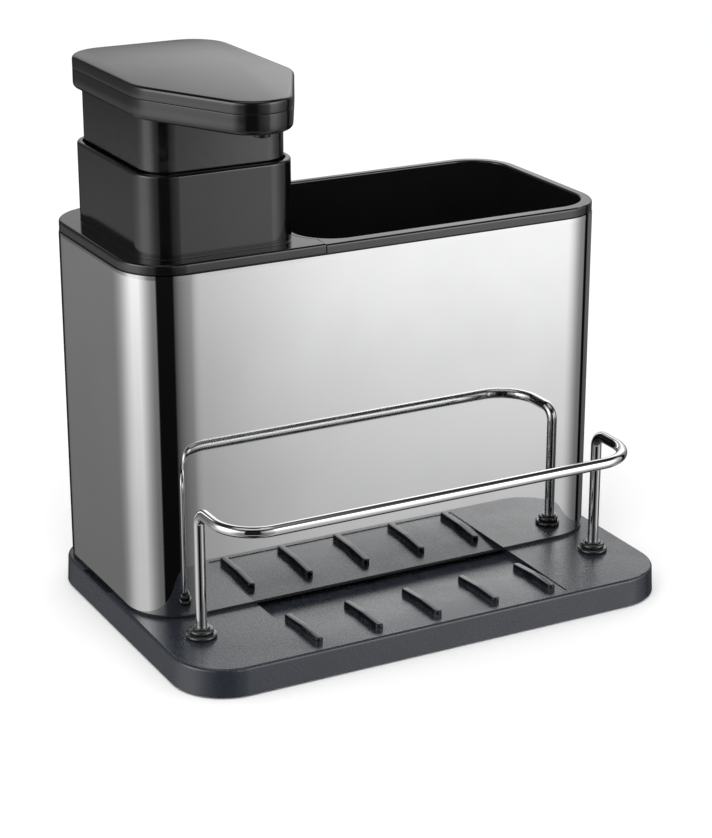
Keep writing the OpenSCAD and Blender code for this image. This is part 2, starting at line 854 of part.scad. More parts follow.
module deck_gasket() {
    outer_gap = bottle_wall / 4;
    inner_gap = bottle_wall + lift_gap - fit;
    color("#8d9093")
        translate([bottle_x, body_y, 0])
            difference() {
                block(bottle_w - 2 * outer_gap, bottle_d - 2 * outer_gap, bottle_r - outer_gap,
                    bottle_top, steel_top);
                block(bottle_w - 2 * inner_gap, bottle_d - 2 * inner_gap, bottle_r - inner_gap,
                    bottle_top - over, steel_top + over);
            }
}

module barrel_gasket() {
    color("#8d9093")
        translate([pump_x, pump_y, 0])
            ring(barrel_flange_d, deck_hole_d, deck_top, flange_low);
}

// Three nibs that keep the inlet ball in its chamber
module cage_nibs() {
    for (turn = [0, 120, 240]) {
        rotate([0, 0, turn])
            translate([chamber_d / 2 - cage_pin, -cage_pin / 2, barrel_floor_top - cage_pin])
                cube([2 * cage_pin, cage_pin, cage_pin]);
    }
}

module pump_barrel() {
    color("#d9dcdd", 0.9)
        translate([pump_x, pump_y, 0]) {
            difference() {
                rotate_extrude()
                    polygon([
                        [barrel_bore / 2, flange_top], [barrel_flange_d / 2, flange_top],
                        [barrel_flange_d / 2, flange_low], [barrel_d / 2, flange_low],
                        [barrel_d / 2, barrel_floor_top - barrel_floor_t],
                        [nipple_d / 2, barrel_floor_top - barrel_floor_t],
                        [nipple_d / 2, nipple_low], [tube_d / 2 + fit, nipple_low],
                        [tube_d / 2 + fit, nipple_top], [seat_bore / 2, nipple_top],
                        [seat_bore / 2, seat_low], [chamber_d / 2, chamber_low],
                        [chamber_d / 2, barrel_floor_top], [barrel_bore / 2, barrel_floor_top]
                    ]);
                translate([0, 0, cap_stop - 3 / 2 * vent_d])
                    rotate([0, 90, 0]) cylinder(d = vent_d, h = barrel_d);
            }
            cage_nibs();
        }
}

module barrel_cap() {
    color("#2a2b2d")
        translate([pump_x, pump_y, 0])
            rotate_extrude()
                polygon([
                    [stem_d / 2 + run_gap, cap_stop], [barrel_bore / 2 - fit, cap_stop],
                    [barrel_bore / 2 - fit, flange_top], [barrel_flange_d / 2, flange_top],
                    [barrel_flange_d / 2, cap_top], [cap_guide_d / 2, cap_top],
                    [cap_guide_d / 2, cap_top + cap_guide_h],
                    [stem_d / 2 + run_gap, cap_top + cap_guide_h]
                ]);
}

module locking_ring() {
    grip_count = 24;
    color("#242527")
        translate([pump_x, pump_y, 0])
            difference() {
                rotate_extrude()
                    polygon([
                        [boss_out_d / 2 + boss_play, ring_low], [ring_d / 2, ring_low],
                        [ring_d / 2, ring_low + ring_h], [cap_guide_d / 2 + boss_play, ring_low + ring_h],
                        [cap_guide_d / 2 + boss_play, cap_top], [boss_out_d / 2 + boss_play, cap_top]
                    ]);
                for (i = [0 : grip_count - 1]) {
                    rotate([0, 0, i * 360 / grip_count])
                        translate([ring_d / 2 + boss_wall / 3, 0, ring_low - over])
                            cylinder(d = boss_wall, h = ring_h + 2 * over);
                }
            }
}

module dip_tube() {
    color("#e4e7e8", 0.8)
        translate([pump_x, pump_y, 0])
            difference() {
                translate([0, 0, tube_low]) cylinder(d = tube_d, h = nipple_top - tube_low);
                translate([0, 0, tube_low - over])
                    cylinder(d = tube_d - 2 * tube_wall, h = nipple_top - tube_low + 2 * over);
                translate([0, 0, tube_low])
                    rotate([0, 45, 0]) cube([tube_d / 2, tube_d + 2 * over, tube_d / 2], center = true);
            }
}

module inlet_ball() {
    color("#c8cbce")
        translate([pump_x, pump_y, chamber_low + inlet_rest])
            sphere(d = inlet_ball_d);
}

// Height of the wire's centre after a number of turns; the end turns lie closer
function spring_z(n) =
    let (end_pitch = spring_wire + coil_gap,
        pitch = (spring_h - spring_wire - 2 * end_pitch) / (spring_turns - 2))
    spring_wire / 2 + end_pitch * (min(n, 1) + max(n - spring_turns + 1, 0))
        + pitch * min(max(n - 1, 0), spring_turns - 2);

// Point j of ring i around the wire
function spring_point(i, j) =
    let (n = i / spring_steps, turn = 360 * n, a = 360 * (j + 1 / 2) / spring_sides,
        r = spring_core / 2 + spring_wire / 2 * cos(a))
    [r * cos(turn), r * sin(turn), spring_z(n) + spring_wire / 2 * sin(a)];

module pump_spring() {
    n = spring_sides;
    points = [for (i = [0 : spring_rings], j = [0 : n - 1]) spring_point(i, j)];
    walls = [for (i = [0 : spring_rings - 1], j = [0 : n - 1], k = [0, 1])
        let (a = i * n + j, b = i * n + (j + 1) % n, c = a + n, d = b + n)
        k == 0 ? [a, b, c] : [b, d, c]];
    ends = [[for (j = [n - 1 : -1 : 0]) j], [for (j = [0 : n - 1]) spring_rings * n + j]];
    color("#b4b7ba")
        translate([pump_x, pump_y, barrel_floor_top])
            polyhedron(points, concat(walls, ends));
}

module pump_stem() {
    color("#d9dcdd")
        translate([pump_x, pump_y, 0])
            rotate_extrude()
                polygon([
                    [stem_bore / 2, stem_low], [stem_d / 2, stem_low], [stem_d / 2, stem_top],
                    [valve_d / 2, stem_top], [valve_d / 2, valve_seat + seat_h], [valve_bore / 2, valve_seat],
                    [valve_bore / 2, valve_seat - cage_pin], [stem_bore / 2, valve_seat - cage_pin]
                ]);
}

module piston() {
    groove_d = piston_d - 2 * cage_pin;
    color("#3a3c3f")
        translate([pump_x, pump_y, 0])
            difference() {
                translate([0, 0, piston_low]) cylinder(d = piston_d, h = piston_h);
                translate([0, 0, piston_low - over]) cylinder(d = stem_d + 2 * fit, h = piston_h + 2 * over);
                ring(piston_d + over, groove_d, piston_low + seal_lift, piston_low + seal_lift + seal_h);
            }
}

module piston_seal() {
    groove_d = piston_d - 2 * cage_pin;
    lip = seal_h / 4;
    seal_low = piston_low + seal_lift;
    seal_d = barrel_bore - 2 * run_gap;
    color("#8d9093")
        translate([pump_x, pump_y, 0])
            rotate_extrude()
                polygon([
                    [groove_d / 2 + fit, seal_low], [seal_d / 2, seal_low], [seal_d / 2, seal_low + lip],
                    [piston_d / 2, seal_low + 2 * lip], [seal_d / 2, seal_low + 3 * lip],
                    [seal_d / 2, seal_low + seal_h], [groove_d / 2 + fit, seal_low + seal_h]
                ]);
}

module outlet_ball() {
    color("#c8cbce")
        translate([pump_x, pump_y, valve_seat + seat_h + outlet_rest])
            sphere(d = outlet_ball_d);
}

// Sector of an upright disc with a round lower and upper edge, for a corner of the head
module corner_sector(r, turn, h, low_edge, top_edge) {
    low = [for (i = [0 : edge_steps]) let (a = 90 * i / edge_steps)
        [r - low_edge * (1 - sin(a)), low_edge * (1 - cos(a))]];
    top = [for (i = [0 : edge_steps]) let (a = 90 * i / edge_steps)
        [r - top_edge * (1 - cos(a)), h - top_edge * (1 - sin(a))]];
    rotate_extrude(angle = turn) polygon(concat([[0, 0]], low, top, [[0, h]]));
}

// Solid with the head's outline, inset all round, between two levels
module head_form(z0, z1, inset, low_edge, top_edge) {
    translate([pump_x, pump_y, z0])
        hull() {
            for (side = [0, 1], c = head_corners) {
                mirror([side, 0, 0])
                    translate([c[0], c[1], 0])
                        rotate([0, 0, c[3]])
                            corner_sector(c[2] - inset, c[4], z1 - z0, low_edge, top_edge);
            }
        }
}

// Duct from the stem's socket to the outlet
module duct(d) {
    translate([pump_x, pump_y, duct_z]) {
        rotate([90, 0, 0]) cylinder(d = d, h = -nozzle_y);
        sphere(d = d);
    }
}

module head_body() {
    cavity_low = head_low + head_wall;
    color("#1d1d1e")
        difference() {
            union() {
                difference() {
                    head_form(head_low, head_split, 0, head_edge, head_seam);
                    head_form(cavity_low, head_split + over, head_wall, 0, 0);
                }
                translate([pump_x, pump_y, 0]) {
                    difference() {
                        union() {
                            block(skirt_w, skirt_d, skirt_r, skirt_low, cavity_low);
                            block(skirt_w - 2 * guide_inset, skirt_d - 2 * guide_inset, skirt_r - guide_inset,
                                guide_low, cavity_low);
                        }
                        block(skirt_w - 2 * (guide_inset + guide_wall), skirt_d - 2 * (guide_inset + guide_wall),
                            skirt_r - guide_inset - guide_wall, guide_low - over, head_low);
                    }
                    translate([0, 0, head_low - socket_h]) cylinder(d = socket_d, h = duct_z - head_low + socket_h);
                    translate([0, nozzle_y, cavity_low - head_wall / 2])
                        cylinder(d = nozzle_d + 2 * head_wall, h = duct_z - cavity_low + head_wall / 2);
                }
                duct(duct_d);
            }
            duct(duct_bore);
            translate([pump_x, pump_y, head_low - socket_h - over])
                cylinder(d = stem_d + 2 * fit, h = stem_top - head_low + socket_h + over);
            translate([pump_x, pump_y + nozzle_y, head_low - over])
                cylinder(d = nozzle_d + 2 * fit, h = duct_z - head_low + over);
        }
}

module head_cover() {
    lip_in = head_wall + lip_play;
    color("#202021") {
        difference() {
            head_form(head_split, head_top, 0, head_seam, cover_edge);
            head_form(head_split - over, head_top - head_wall, head_wall, 0, 0);
        }
        difference() {
            head_form(head_split - lip_h, head_top - head_wall / 2, lip_in, 0, 0);
            head_form(head_split - lip_h - over, head_top - head_wall, lip_in + lip_t, 0, 0);
        }
    }
}

module nozzle_tip() {
    color("#111112")
        translate([pump_x, pump_y + nozzle_y, 0])
            ring(nozzle_d, nozzle_bore, head_low - nozzle_drop, duct_z - duct_bore / 2);
}

base_tray();
tray_feet();
sponge_rail();
rail_bushings();
rail_washers();
rail_screws();
holder_base();
steel_sleeve();
brush_cup();
soap_bottle();
pump_deck();
deck_gasket();
barrel_gasket();
pump_barrel();
barrel_cap();
locking_ring();
dip_tube();
inlet_ball();
pump_spring();
pump_stem();
piston();
piston_seal();
outlet_ball();
head_body();
head_cover();
nozzle_tip();
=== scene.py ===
import json
import math

import bmesh
import bpy
from mathutils import Matrix, Vector

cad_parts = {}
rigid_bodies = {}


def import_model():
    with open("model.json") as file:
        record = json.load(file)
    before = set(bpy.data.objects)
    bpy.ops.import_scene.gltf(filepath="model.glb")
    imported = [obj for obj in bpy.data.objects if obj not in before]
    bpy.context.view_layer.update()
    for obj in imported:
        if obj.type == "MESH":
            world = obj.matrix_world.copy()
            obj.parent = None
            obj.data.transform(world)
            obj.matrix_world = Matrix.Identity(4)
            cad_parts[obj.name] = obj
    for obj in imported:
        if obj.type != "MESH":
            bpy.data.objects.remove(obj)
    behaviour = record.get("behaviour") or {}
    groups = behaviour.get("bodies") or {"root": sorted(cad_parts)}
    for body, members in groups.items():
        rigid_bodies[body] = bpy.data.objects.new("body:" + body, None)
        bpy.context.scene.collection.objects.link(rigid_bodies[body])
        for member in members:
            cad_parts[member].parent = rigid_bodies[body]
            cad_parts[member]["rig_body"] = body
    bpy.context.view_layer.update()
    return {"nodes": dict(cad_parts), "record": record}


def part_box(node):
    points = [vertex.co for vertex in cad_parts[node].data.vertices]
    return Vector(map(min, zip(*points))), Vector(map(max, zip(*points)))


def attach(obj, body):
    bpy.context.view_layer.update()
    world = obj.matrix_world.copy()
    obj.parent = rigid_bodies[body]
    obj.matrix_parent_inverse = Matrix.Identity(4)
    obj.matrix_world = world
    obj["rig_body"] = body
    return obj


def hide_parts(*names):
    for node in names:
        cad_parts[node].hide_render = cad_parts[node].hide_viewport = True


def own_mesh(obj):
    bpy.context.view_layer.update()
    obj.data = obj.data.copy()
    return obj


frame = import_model()

MM = 0.001
BODY_OF = {n: o["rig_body"] for n, o in frame["nodes"].items()}
SLOT_OF = {s["node"]: s["material_slot"] for s in frame["record"]["subparts"]}


# ---------------------------------------------------------------- camera

PHOTO_LONG_SIDE, FOCAL_POINTS = 838, 2334.78
CAMERA_EYE = Vector((-400.31, -751.78, 380.48)) * MM
CAMERA_AZIMUTH, CAMERA_ELEVATION = math.radians(-27.968), math.radians(20.074)
SENSOR_WIDTH = 36
CLIP_NEAR, CLIP_FAR = 0.05, 50


def place_camera():
    """The photograph's camera: its eye, its two angles and a focal length in picture points."""
    eye, azimuth, elevation = CAMERA_EYE, CAMERA_AZIMUTH, CAMERA_ELEVATION
    back = Vector((
        math.sin(azimuth) * math.cos(elevation),
        -math.cos(azimuth) * math.cos(elevation),
        math.sin(elevation)))
    right = Vector((math.cos(azimuth), math.sin(azimuth), 0))
    up = back.cross(right)
    data = bpy.data.cameras.new("photo_camera")
    data.sensor_fit = "AUTO"
    data.sensor_width = SENSOR_WIDTH
    data.lens = FOCAL_POINTS * SENSOR_WIDTH / PHOTO_LONG_SIDE
    data.clip_start, data.clip_end = CLIP_NEAR, CLIP_FAR
    camera = bpy.data.objects.new("photo_camera", data)
    camera.matrix_world = Matrix((
        (right.x, up.x, back.x, eye.x),
        (right.y, up.y, back.y, eye.y),
        (right.z, up.z, back.z, eye.z),
        (0, 0, 0, 1)))
    bpy.context.scene.collection.objects.link(camera)
    bpy.context.scene.camera = camera


# ---------------------------------------------------------------- node helpers

FLOAT, COLOUR = "NodeSocketFloat", "NodeSocketColor"
WHOLE, MATERIAL, GEOMETRY = "NodeSocketInt", "NodeSocketMaterial", "NodeSocketGeometry"
MIX_FACTOR, MIX_FIRST, MIX_SECOND, MIX_RESULT = 0, 6, 7, 2


def feed(tree, node, inputs):
    """Gives a node's sockets their values or their links."""
    for key, value in (inputs or {}).items():
        if isinstance(value, bpy.types.NodeSocket):
            tree.links.new(value, node.inputs[key])
        else:
            node.inputs[key].default_value = value
    return node


def add(tree, kind, settings=None, inputs=None):
    """One node with its settings and the values of its sockets."""
    node = tree.nodes.new(kind)
    for key, value in (settings or {}).items():
        setattr(node, key, value)
    return feed(tree, node, inputs)


def maths(tree, operation, first, second=None, third=None, clamp=False):
    """A Math node's result."""
    inputs = {i: v for i, v in enumerate((first, second, third)) if v is not None}
    settings = {"operation": operation, "use_clamp": clamp}
    return add(tree, "ShaderNodeMath", settings, inputs).outputs[0]


def times(tree, first, *others):
    """The product of two or more values."""
    for other in others:
        first = maths(tree, "MULTIPLY", first, other)
    return first


def mix(tree, factor, first, second, blend="MIX"):
    """A Mix node's colour."""
    settings = {"data_type": "RGBA", "blend_type": blend, "clamp_result": False}
    inputs = {MIX_FACTOR: factor, MIX_FIRST: first, MIX_SECOND: second}
    return add(tree, "ShaderNodeMix", settings, inputs).outputs[MIX_RESULT]


def noise(tree, place, scale, detail, roughness):
    """A Noise node's value."""
    return add(tree, "ShaderNodeTexNoise", None, {
        "Vector": place, "Scale": scale, "Detail": detail, "Roughness": roughness}).outputs["Fac"]


def object_place(tree):
    """The place on the piece, in metres."""
    return add(tree, "ShaderNodeTexCoord").outputs["Object"]


def attribute(tree, name):
    """A float attribute of the mesh."""
    return add(tree, "ShaderNodeAttribute", {"attribute_name": name}).outputs["Fac"]


def span(tree, value, low, high, to_low=0.0, to_high=1.0, smooth=True):
    """A value carried from one range to another."""
    kind = "SMOOTHSTEP" if smooth else "LINEAR"
    node = add(tree, "ShaderNodeMapRange", {"interpolation_type": kind, "clamp": True}, {
        "Value": value, "From Min": low, "From Max": high, "To Min": to_low, "To Max": to_high})
    return node.outputs["Result"]


def new_group(name, inputs, outputs):
    """A shader node group with named sockets; returns the group, its inputs and its output node."""
    group = bpy.data.node_groups.new(name, "ShaderNodeTree")
    for label, kind, value in inputs:
        socket = group.interface.new_socket(label, in_out="INPUT", socket_type=kind)
        if value is not None:
            socket.default_value = value
    for label, kind in outputs:
        group.interface.new_socket(label, in_out="OUTPUT", socket_type=kind)
    source = group.nodes.new("NodeGroupInput")
    sink = group.nodes.new("NodeGroupOutput")
    return group, source.outputs, sink


def make_moulded_skin():
    """Fine eroded grain of a moulded face, with patches that are a little smoother or duller."""
    group, given, sink = new_group("moulded_skin", [
        ("Grain Scale", FLOAT, 2600.0), ("Patch Scale", FLOAT, 45.0),
        ("Smooth Roughness", FLOAT, 0.35), ("Dull Roughness", FLOAT, 0.45), ("Sparkle", FLOAT, 0.0)],
        [("Roughness", FLOAT), ("Height", FLOAT)])
    place = object_place(group)
    grain = noise(group, place, given["Grain Scale"], detail=3.0, roughness=0.6)
    patch = noise(group, place, given["Patch Scale"], detail=4.0, roughness=0.55)
    speck = noise(group, place, scale=1900.0, detail=1.0, roughness=0.5)
    sheen = span(group, patch, low=0.35, high=0.65,
                 to_low=given["Smooth Roughness"], to_high=given["Dull Roughness"])
    glint = times(group, span(group, speck, low=0.42, high=0.62), given["Sparkle"])
    group.links.new(maths(group, "ADD", sheen, glint), sink.inputs["Roughness"])
    group.links.new(grain, sink.inputs["Height"])
    return group


def make_edge_wear_and_highlight():
    """Lighter colour on proud edges: scuffing on most parts, and on the tray and its ribs a painted
    highlight; the proud_edge attribute says where.
    """
    group, given, sink = new_group("edge_wear_and_highlight", [
        ("Colour", COLOUR, None), ("Worn And Highlight Colour", COLOUR, None), ("Amount", FLOAT, 0.5)],
        [("Colour", COLOUR), ("Mask", FLOAT)])
    nibble = noise(group, object_place(group), scale=320.0, detail=5.0, roughness=0.65)
    broken = span(group, nibble, low=0.32, high=0.62)
    mask = maths(group, "MULTIPLY", times(group, attribute(group, "proud_edge"), broken),
                 given["Amount"], clamp=True)
    group.links.new(mix(group, mask, given["Colour"], given["Worn And Highlight Colour"]), sink.inputs["Colour"])
    group.links.new(mask, sink.inputs["Mask"])
    return group


def make_settled_dust():
    """A faint film on faces that look up, broken by noise."""
    group, given, sink = new_group("settled_dust", [
        ("Colour", COLOUR, None), ("Dust Colour", COLOUR, None), ("Amount", FLOAT, 0.1)],
        [("Colour", COLOUR)])
    upward = add(group, "ShaderNodeSeparateXYZ", None, {
        0: add(group, "ShaderNodeNewGeometry").outputs["Normal"]}).outputs["Z"]
    cloud = noise(group, object_place(group), scale=38.0, detail=7.0, roughness=0.62)
    film = times(group, span(group, upward, low=0.6, high=1.0), span(group, cloud, low=0.38, high=0.7))
    share = maths(group, "MULTIPLY", film, given["Amount"], clamp=True)
    group.links.new(mix(group, share, given["Colour"], given["Dust Colour"]), sink.inputs["Colour"])
    return group


def make_marked_metal(name, inputs, stretch, detail, low, high):
    """The start of a metal's group: marks drawn out along an axis that vary its roughness."""
    group, given, sink = new_group(name, inputs, [("Roughness", FLOAT), ("Height", FLOAT)])
    place = object_place(group)
    stretched = add(group, "ShaderNodeMapping", None, {"Vector": place, "Scale": stretch}).outputs["Vector"]
    marks = noise(group, stretched, given["Mark Scale"], **detail)
    sheen = span(group, marks, low, high, given["Bright Roughness"], given["Dull Roughness"])
    group.links.new(sheen, sink.inputs["Roughness"])
    return group, given, sink, place, marks


def make_polish():
    """Polished metal: a near-even sheen with faint wipe marks and the slow waves of thin sheet."""
    group, given, sink, place, _ = make_marked_metal("polish", [
        ("Wave Scale", FLOAT, 9.0), ("Mark Scale", FLOAT, 160.0),
        ("Bright Roughness", FLOAT, 0.03), ("Dull Roughness", FLOAT, 0.06)],
        stretch=(1.0, 1.0, 0.12), detail={"detail": 6.0, "roughness": 0.6}, low=0.4, high=0.75)
    waves = noise(group, place, given["Wave Scale"], detail=1.0, roughness=0.4)
    group.links.new(waves, sink.inputs["Height"])
    return group


def make_turned_marks():
    """Fine rings left by turning or rolling, across the Z axis."""
    group, _, sink, _, rings = make_marked_metal("turned_marks", [
        ("Mark Scale", FLOAT, 4000.0), ("Bright Roughness", FLOAT, 0.2), ("Dull Roughness", FLOAT, 0.36)],
        stretch=(0.05, 0.05, 1.0), detail={"detail": 2.0, "roughness": 0.5}, low=0.35, high=0.65)
    group.links.new(rings, sink.inputs["Height"])
    return group


GROUPS = {
    "moulded_skin": make_moulded_skin(), "edge_wear_and_highlight": make_edge_wear_and_highlight(), "settled_dust": make_settled_dust(),
    "polish": make_polish(), "turned_marks": make_turned_marks(),
}


def grey(value, cool=0.0):
    """A near-neutral colour, a little bluer when cool is above zero."""
    return (value * (1 - cool), value, value * (1 + cool), 1.0)


def start_material(name):
    """An empty material with its shader wired to the output."""
    material = bpy.data.materials.new(name)
    material.use_nodes = True
    tree = material.node_tree
    tree.nodes.clear()
    shader = tree.nodes.new("ShaderNodeBsdfPrincipled")
    output = tree.nodes.new("ShaderNodeOutputMaterial")
    tree.links.new(shader.outputs["BSDF"], output.inputs["Surface"])
    return material, tree, shader


def tinted(colour, factor, lift=0.0):
    """A colour made darker or lighter."""
    return tuple(min(1.0, c * factor + lift) for c in colour[:3]) + (1.0,)


def place_group(tree, name, values=None):
    """One shader group in a material, with its own values."""
    node = tree.nodes.new("ShaderNodeGroup")
    node.node_tree = GROUPS[name]
    return feed(tree, node, values).outputs


def bump(tree, shader, height, strength, distance):
    """Height that tilts the shader's normal."""
    node = add(tree, "ShaderNodeBump", None, {
        "Height": height, "Strength": strength, "Distance": distance})
    tree.links.new(node.outputs["Normal"], shader.inputs["Normal"])


SHADE_SPREAD = 0.06
DUST_GREY = (0.5, 0.5, 0.5, 1.0)


def moulded(name, colour, smooth, dull, grain_scale, grain_depth, worn_and_highlight=None, wear_and_highlight=0.35, dust=0.04,
            coat=0.0, level=0.5, sparkle=0.0):
    """Moulded plastic or rubber with grain, lighter edges (scuffing, and on the tray and its ribs a painted
    highlight) and a trace of dust.
    """
    material, tree, shader = start_material(name)
    skin = place_group(tree, "moulded_skin", {
        "Grain Scale": grain_scale, "Smooth Roughness": smooth, "Dull Roughness": dull, "Sparkle": sparkle})
    shade = noise(tree, object_place(tree), scale=60.0, detail=5.0, roughness=0.6)
    varied = mix(tree, span(tree, shade, low=0.3, high=0.7),
                 tinted(colour, 1 - SHADE_SPREAD), tinted(colour, 1 + SHADE_SPREAD))
    edge_toned = place_group(tree, "edge_wear_and_highlight", {
        "Colour": varied, "Worn And Highlight Colour": worn_and_highlight or tinted(colour, 2.2, 0.02), "Amount": wear_and_highlight})
    dusty = place_group(tree, "settled_dust", {
        "Colour": edge_toned["Colour"], "Dust Colour": DUST_GREY, "Amount": dust})
    feed(tree, shader, {
        "Base Color": dusty["Colour"], "Roughness": skin["Roughness"], "Specular IOR Level": level,
        "Coat Weight": coat, "Coat Roughness": 0.12})
    bump(tree, shader, skin["Height"], strength=grain_depth, distance=0.2 * MM)
    return material


def polished(name, colour, bright, wiped, wave_depth, wave_scale=9.0, mark_scale=160.0):
    """Polished or plated metal, with painted shade: near-black where the painted_gap_shade attribute marks
    the shadow gap under the rim.
    """
    material, tree, shader = start_material(name)
    skin = place_group(tree, "polish", {
        "Wave Scale": wave_scale, "Mark Scale": mark_scale,
        "Bright Roughness": bright, "Dull Roughness": wiped})
    film = noise(tree, object_place(tree), scale=22.0, detail=4.0, roughness=0.5)
    tint = mix(tree, span(tree, film, low=0.35, high=0.65), colour, tinted(colour, 0.96))
    feed(tree, shader, {
        # Painted shade: the marked faces of the shadow gap take a near-black colour.
        "Base Color": mix(tree, attribute(tree, "painted_gap_shade"), tint, grey(0.02)),
        "Roughness": skin["Roughness"], "Metallic": 1.0})
    bump(tree, shader, skin["Height"], strength=wave_depth, distance=0.5 * MM)
    return material


def turned(name, colour, bright, dull, mark_scale=4000.0):
    """Turned, rolled or drawn metal with fine marks."""
    material, tree, shader = start_material(name)
    marks = place_group(tree, "turned_marks", {
        "Mark Scale": mark_scale, "Bright Roughness": bright, "Dull Roughness": dull})
    edge_toned = place_group(tree, "edge_wear_and_highlight", {
        "Colour": colour, "Worn And Highlight Colour": tinted(colour, 1.3), "Amount": 0.6})
    feed(tree, shader, {"Base Color": edge_toned["Colour"], "Roughness": marks["Roughness"], "Metallic": 1.0})
    bump(tree, shader, marks["Height"], strength=0.15, distance=0.1 * MM)
    return material


def clear_plastic(name, colour, smooth, dull, through):
    """Natural or clear plastic that lets light in."""
    material, tree, shader = start_material(name)
    skin = place_group(tree, "moulded_skin", {
        "Grain Scale": 1400.0, "Smooth Roughness": smooth, "Dull Roughness": dull})
    edge_toned = place_group(tree, "edge_wear_and_highlight", {
        "Colour": colour, "Worn And Highlight Colour": (1.0, 1.0, 1.0, 1.0), "Amount": 0.4})
    feed(tree, shader, {
        "Base Color": edge_toned["Colour"], "Roughness": skin["Roughness"],
        "Transmission Weight": through, "IOR": 1.5})
    bump(tree, shader, skin["Height"], strength=0.05, distance=0.1 * MM)
    return material


SATIN = {"dust": 0.003, "level": 0.8}

# Slot: name, colour, smooth roughness, dull roughness, grain scale, grain depth and what else is its own
MOULDED = {
    # Tray: its light edge colour paints a highlight along its edges and the bed's steps.
    "tray_plastic": ("slate_tray", (0.0150, 0.0190, 0.0270, 1.0), 0.22, 0.28, 1300.0, 0.25, {
        "worn_and_highlight": (0.10, 0.105, 0.12, 1.0), "wear_and_highlight": 0.3, "dust": 0.006, "level": 0.8, "sparkle": 0.06}),
    # Ribs: the tray's slate made darker as painted shade on their sides; their light edge colour is a painted
    # highlight.
    "ribs": ("rib_slate", (0.0040, 0.0050, 0.0068, 1.0), 0.14, 0.20, 1300.0, 0.05, {
        "worn_and_highlight": (0.085, 0.090, 0.100, 1.0), "wear_and_highlight": 0.7, "dust": 0.0, "level": 0.5}),
    "foot_rubber": ("foot_rubber", grey(0.02), 0.6, 0.75, 3200.0, 0.4, {}),
    "bushing_plastic": ("bushing_gloss", grey(0.020, 0.03), 0.14, 0.20, 2400.0, 0.04, {
        "coat": 0.2, "dust": 0.0, "level": 0.8}),
    "holder_plastic": ("holder_black", grey(0.006), 0.30, 0.40, 2400.0, 0.3, {"dust": 0.0}),
    "cup_plastic": ("cup_black", grey(0.0060), 0.11, 0.15, 3000.0, 0.05, SATIN),
    "bottle_plastic": ("bottle_dark", grey(0.03), 0.38, 0.5, 2200.0, 0.2, {}),
    "deck_plastic": ("deck_black", grey(0.0028), 0.11, 0.15, 3000.0, 0.05, SATIN),
    "gasket_rubber": ("gasket_grey", grey(0.4, 0.01), 0.55, 0.7, 2600.0, 0.3, {"wear_and_highlight": 0.1}),
    "cap_plastic": ("cap_dark", grey(0.07), 0.36, 0.48, 2400.0, 0.2, {}),
    "ring_plastic": ("ring_dark", grey(0.06), 0.38, 0.5, 2400.0, 0.25, {}),
    "piston_plastic": ("piston_grey", grey(0.11, 0.02), 0.35, 0.5, 2600.0, 0.15, {}),
    "head_plastic": ("head_black", grey(0.0028), 0.11, 0.15, 3000.0, 0.05, SATIN),
    "cover_plastic": ("cover_black_satin", grey(0.0030), 0.15, 0.17, 3200.0, 0.06, SATIN),
    "nozzle_plastic": ("nozzle_black", grey(0.006), 0.2, 0.3, 2600.0, 0.05, {"dust": 0.0}),
}


def make_materials():
    """A material for each of the record's slots, and one more for the ribs."""
    finishes = {slot: moulded(*row[:-1], **row[-1]) for slot, row in MOULDED.items()}
    finishes.update({
        "rail_chrome": polished("rail_chrome", grey(0.74), bright=0.015, wiped=0.04,
                                wave_depth=0.01, wave_scale=60.0, mark_scale=600.0),
        "polished_steel": polished("polished_steel", grey(0.65, 0.002), bright=0.03, wiped=0.05,
                                   wave_depth=0.012),
        "ball_steel": polished("ball_steel", grey(0.75), bright=0.04, wiped=0.09,
                               wave_depth=0.01, wave_scale=200.0),
        "washer_steel": turned("washer_zinc", grey(0.62, 0.01), bright=0.22, dull=0.36),
        "screw_steel": turned("screw_zinc", grey(0.58, 0.01), bright=0.25, dull=0.4),
        "spring_steel": turned("spring_wire", grey(0.6), bright=0.2, dull=0.34, mark_scale=2500.0),
        "natural_plastic": clear_plastic("natural_white", (0.82, 0.84, 0.85, 1.0), smooth=0.28,
                                         dull=0.4, through=0.25),
        "tube_plastic": clear_plastic("tube_clear", (0.9, 0.92, 0.93, 1.0), smooth=0.1, dull=0.2,
                                      through=0.7),
    })
    return finishes


# ---------------------------------------------------------------- mesh helpers

def link(name, mesh):
    """A new object for a mesh, at the origin."""
    piece = bpy.data.objects.new(name, mesh)
    bpy.context.scene.collection.objects.link(piece)
    return piece


def settle(piece):
    """Replaces a piece's mesh by its evaluated mesh and drops the modifiers."""
    bpy.context.view_layer.update()
    graph = bpy.context.evaluated_depsgraph_get()
    mesh = bpy.data.meshes.new_from_object(piece.evaluated_get(graph))
    mesh.name = piece.name
    piece.modifiers.clear()
    piece.data = mesh


def smooth(mesh, angle):
    """Smooth shading that keeps edges over an angle sharp."""
    mesh.shade_smooth()
    mesh.set_sharp_from_angle(angle=math.radians(angle))


def solid_piece(work, name):
    """A new piece from a closed working mesh, its faces turned outwards."""
    bmesh.ops.recalc_face_normals(work, faces=work.faces)
    mesh = bpy.data.meshes.new(name)
    work.to_mesh(mesh)
    work.free()
    return link(name, mesh)


def wire_path(name, points):
    """A new piece that holds only an open path, for a geometry tree to sweep."""
    mesh = bpy.data.meshes.new(name)
    mesh.from_pydata(points, [(i, i + 1) for i in range(len(points) - 1)], [])
    return link(name, mesh)


def even_normals(piece, weight, keep_sharp):
    """Lets the large faces of a piece decide its shading."""
    even = piece.modifiers.new("even_normals", "WEIGHTED_NORMAL")
    even.keep_sharp = keep_sharp
    even.weight = weight
    settle(piece)


PROUD_FROM, PROUD_SPAN = 25, 15


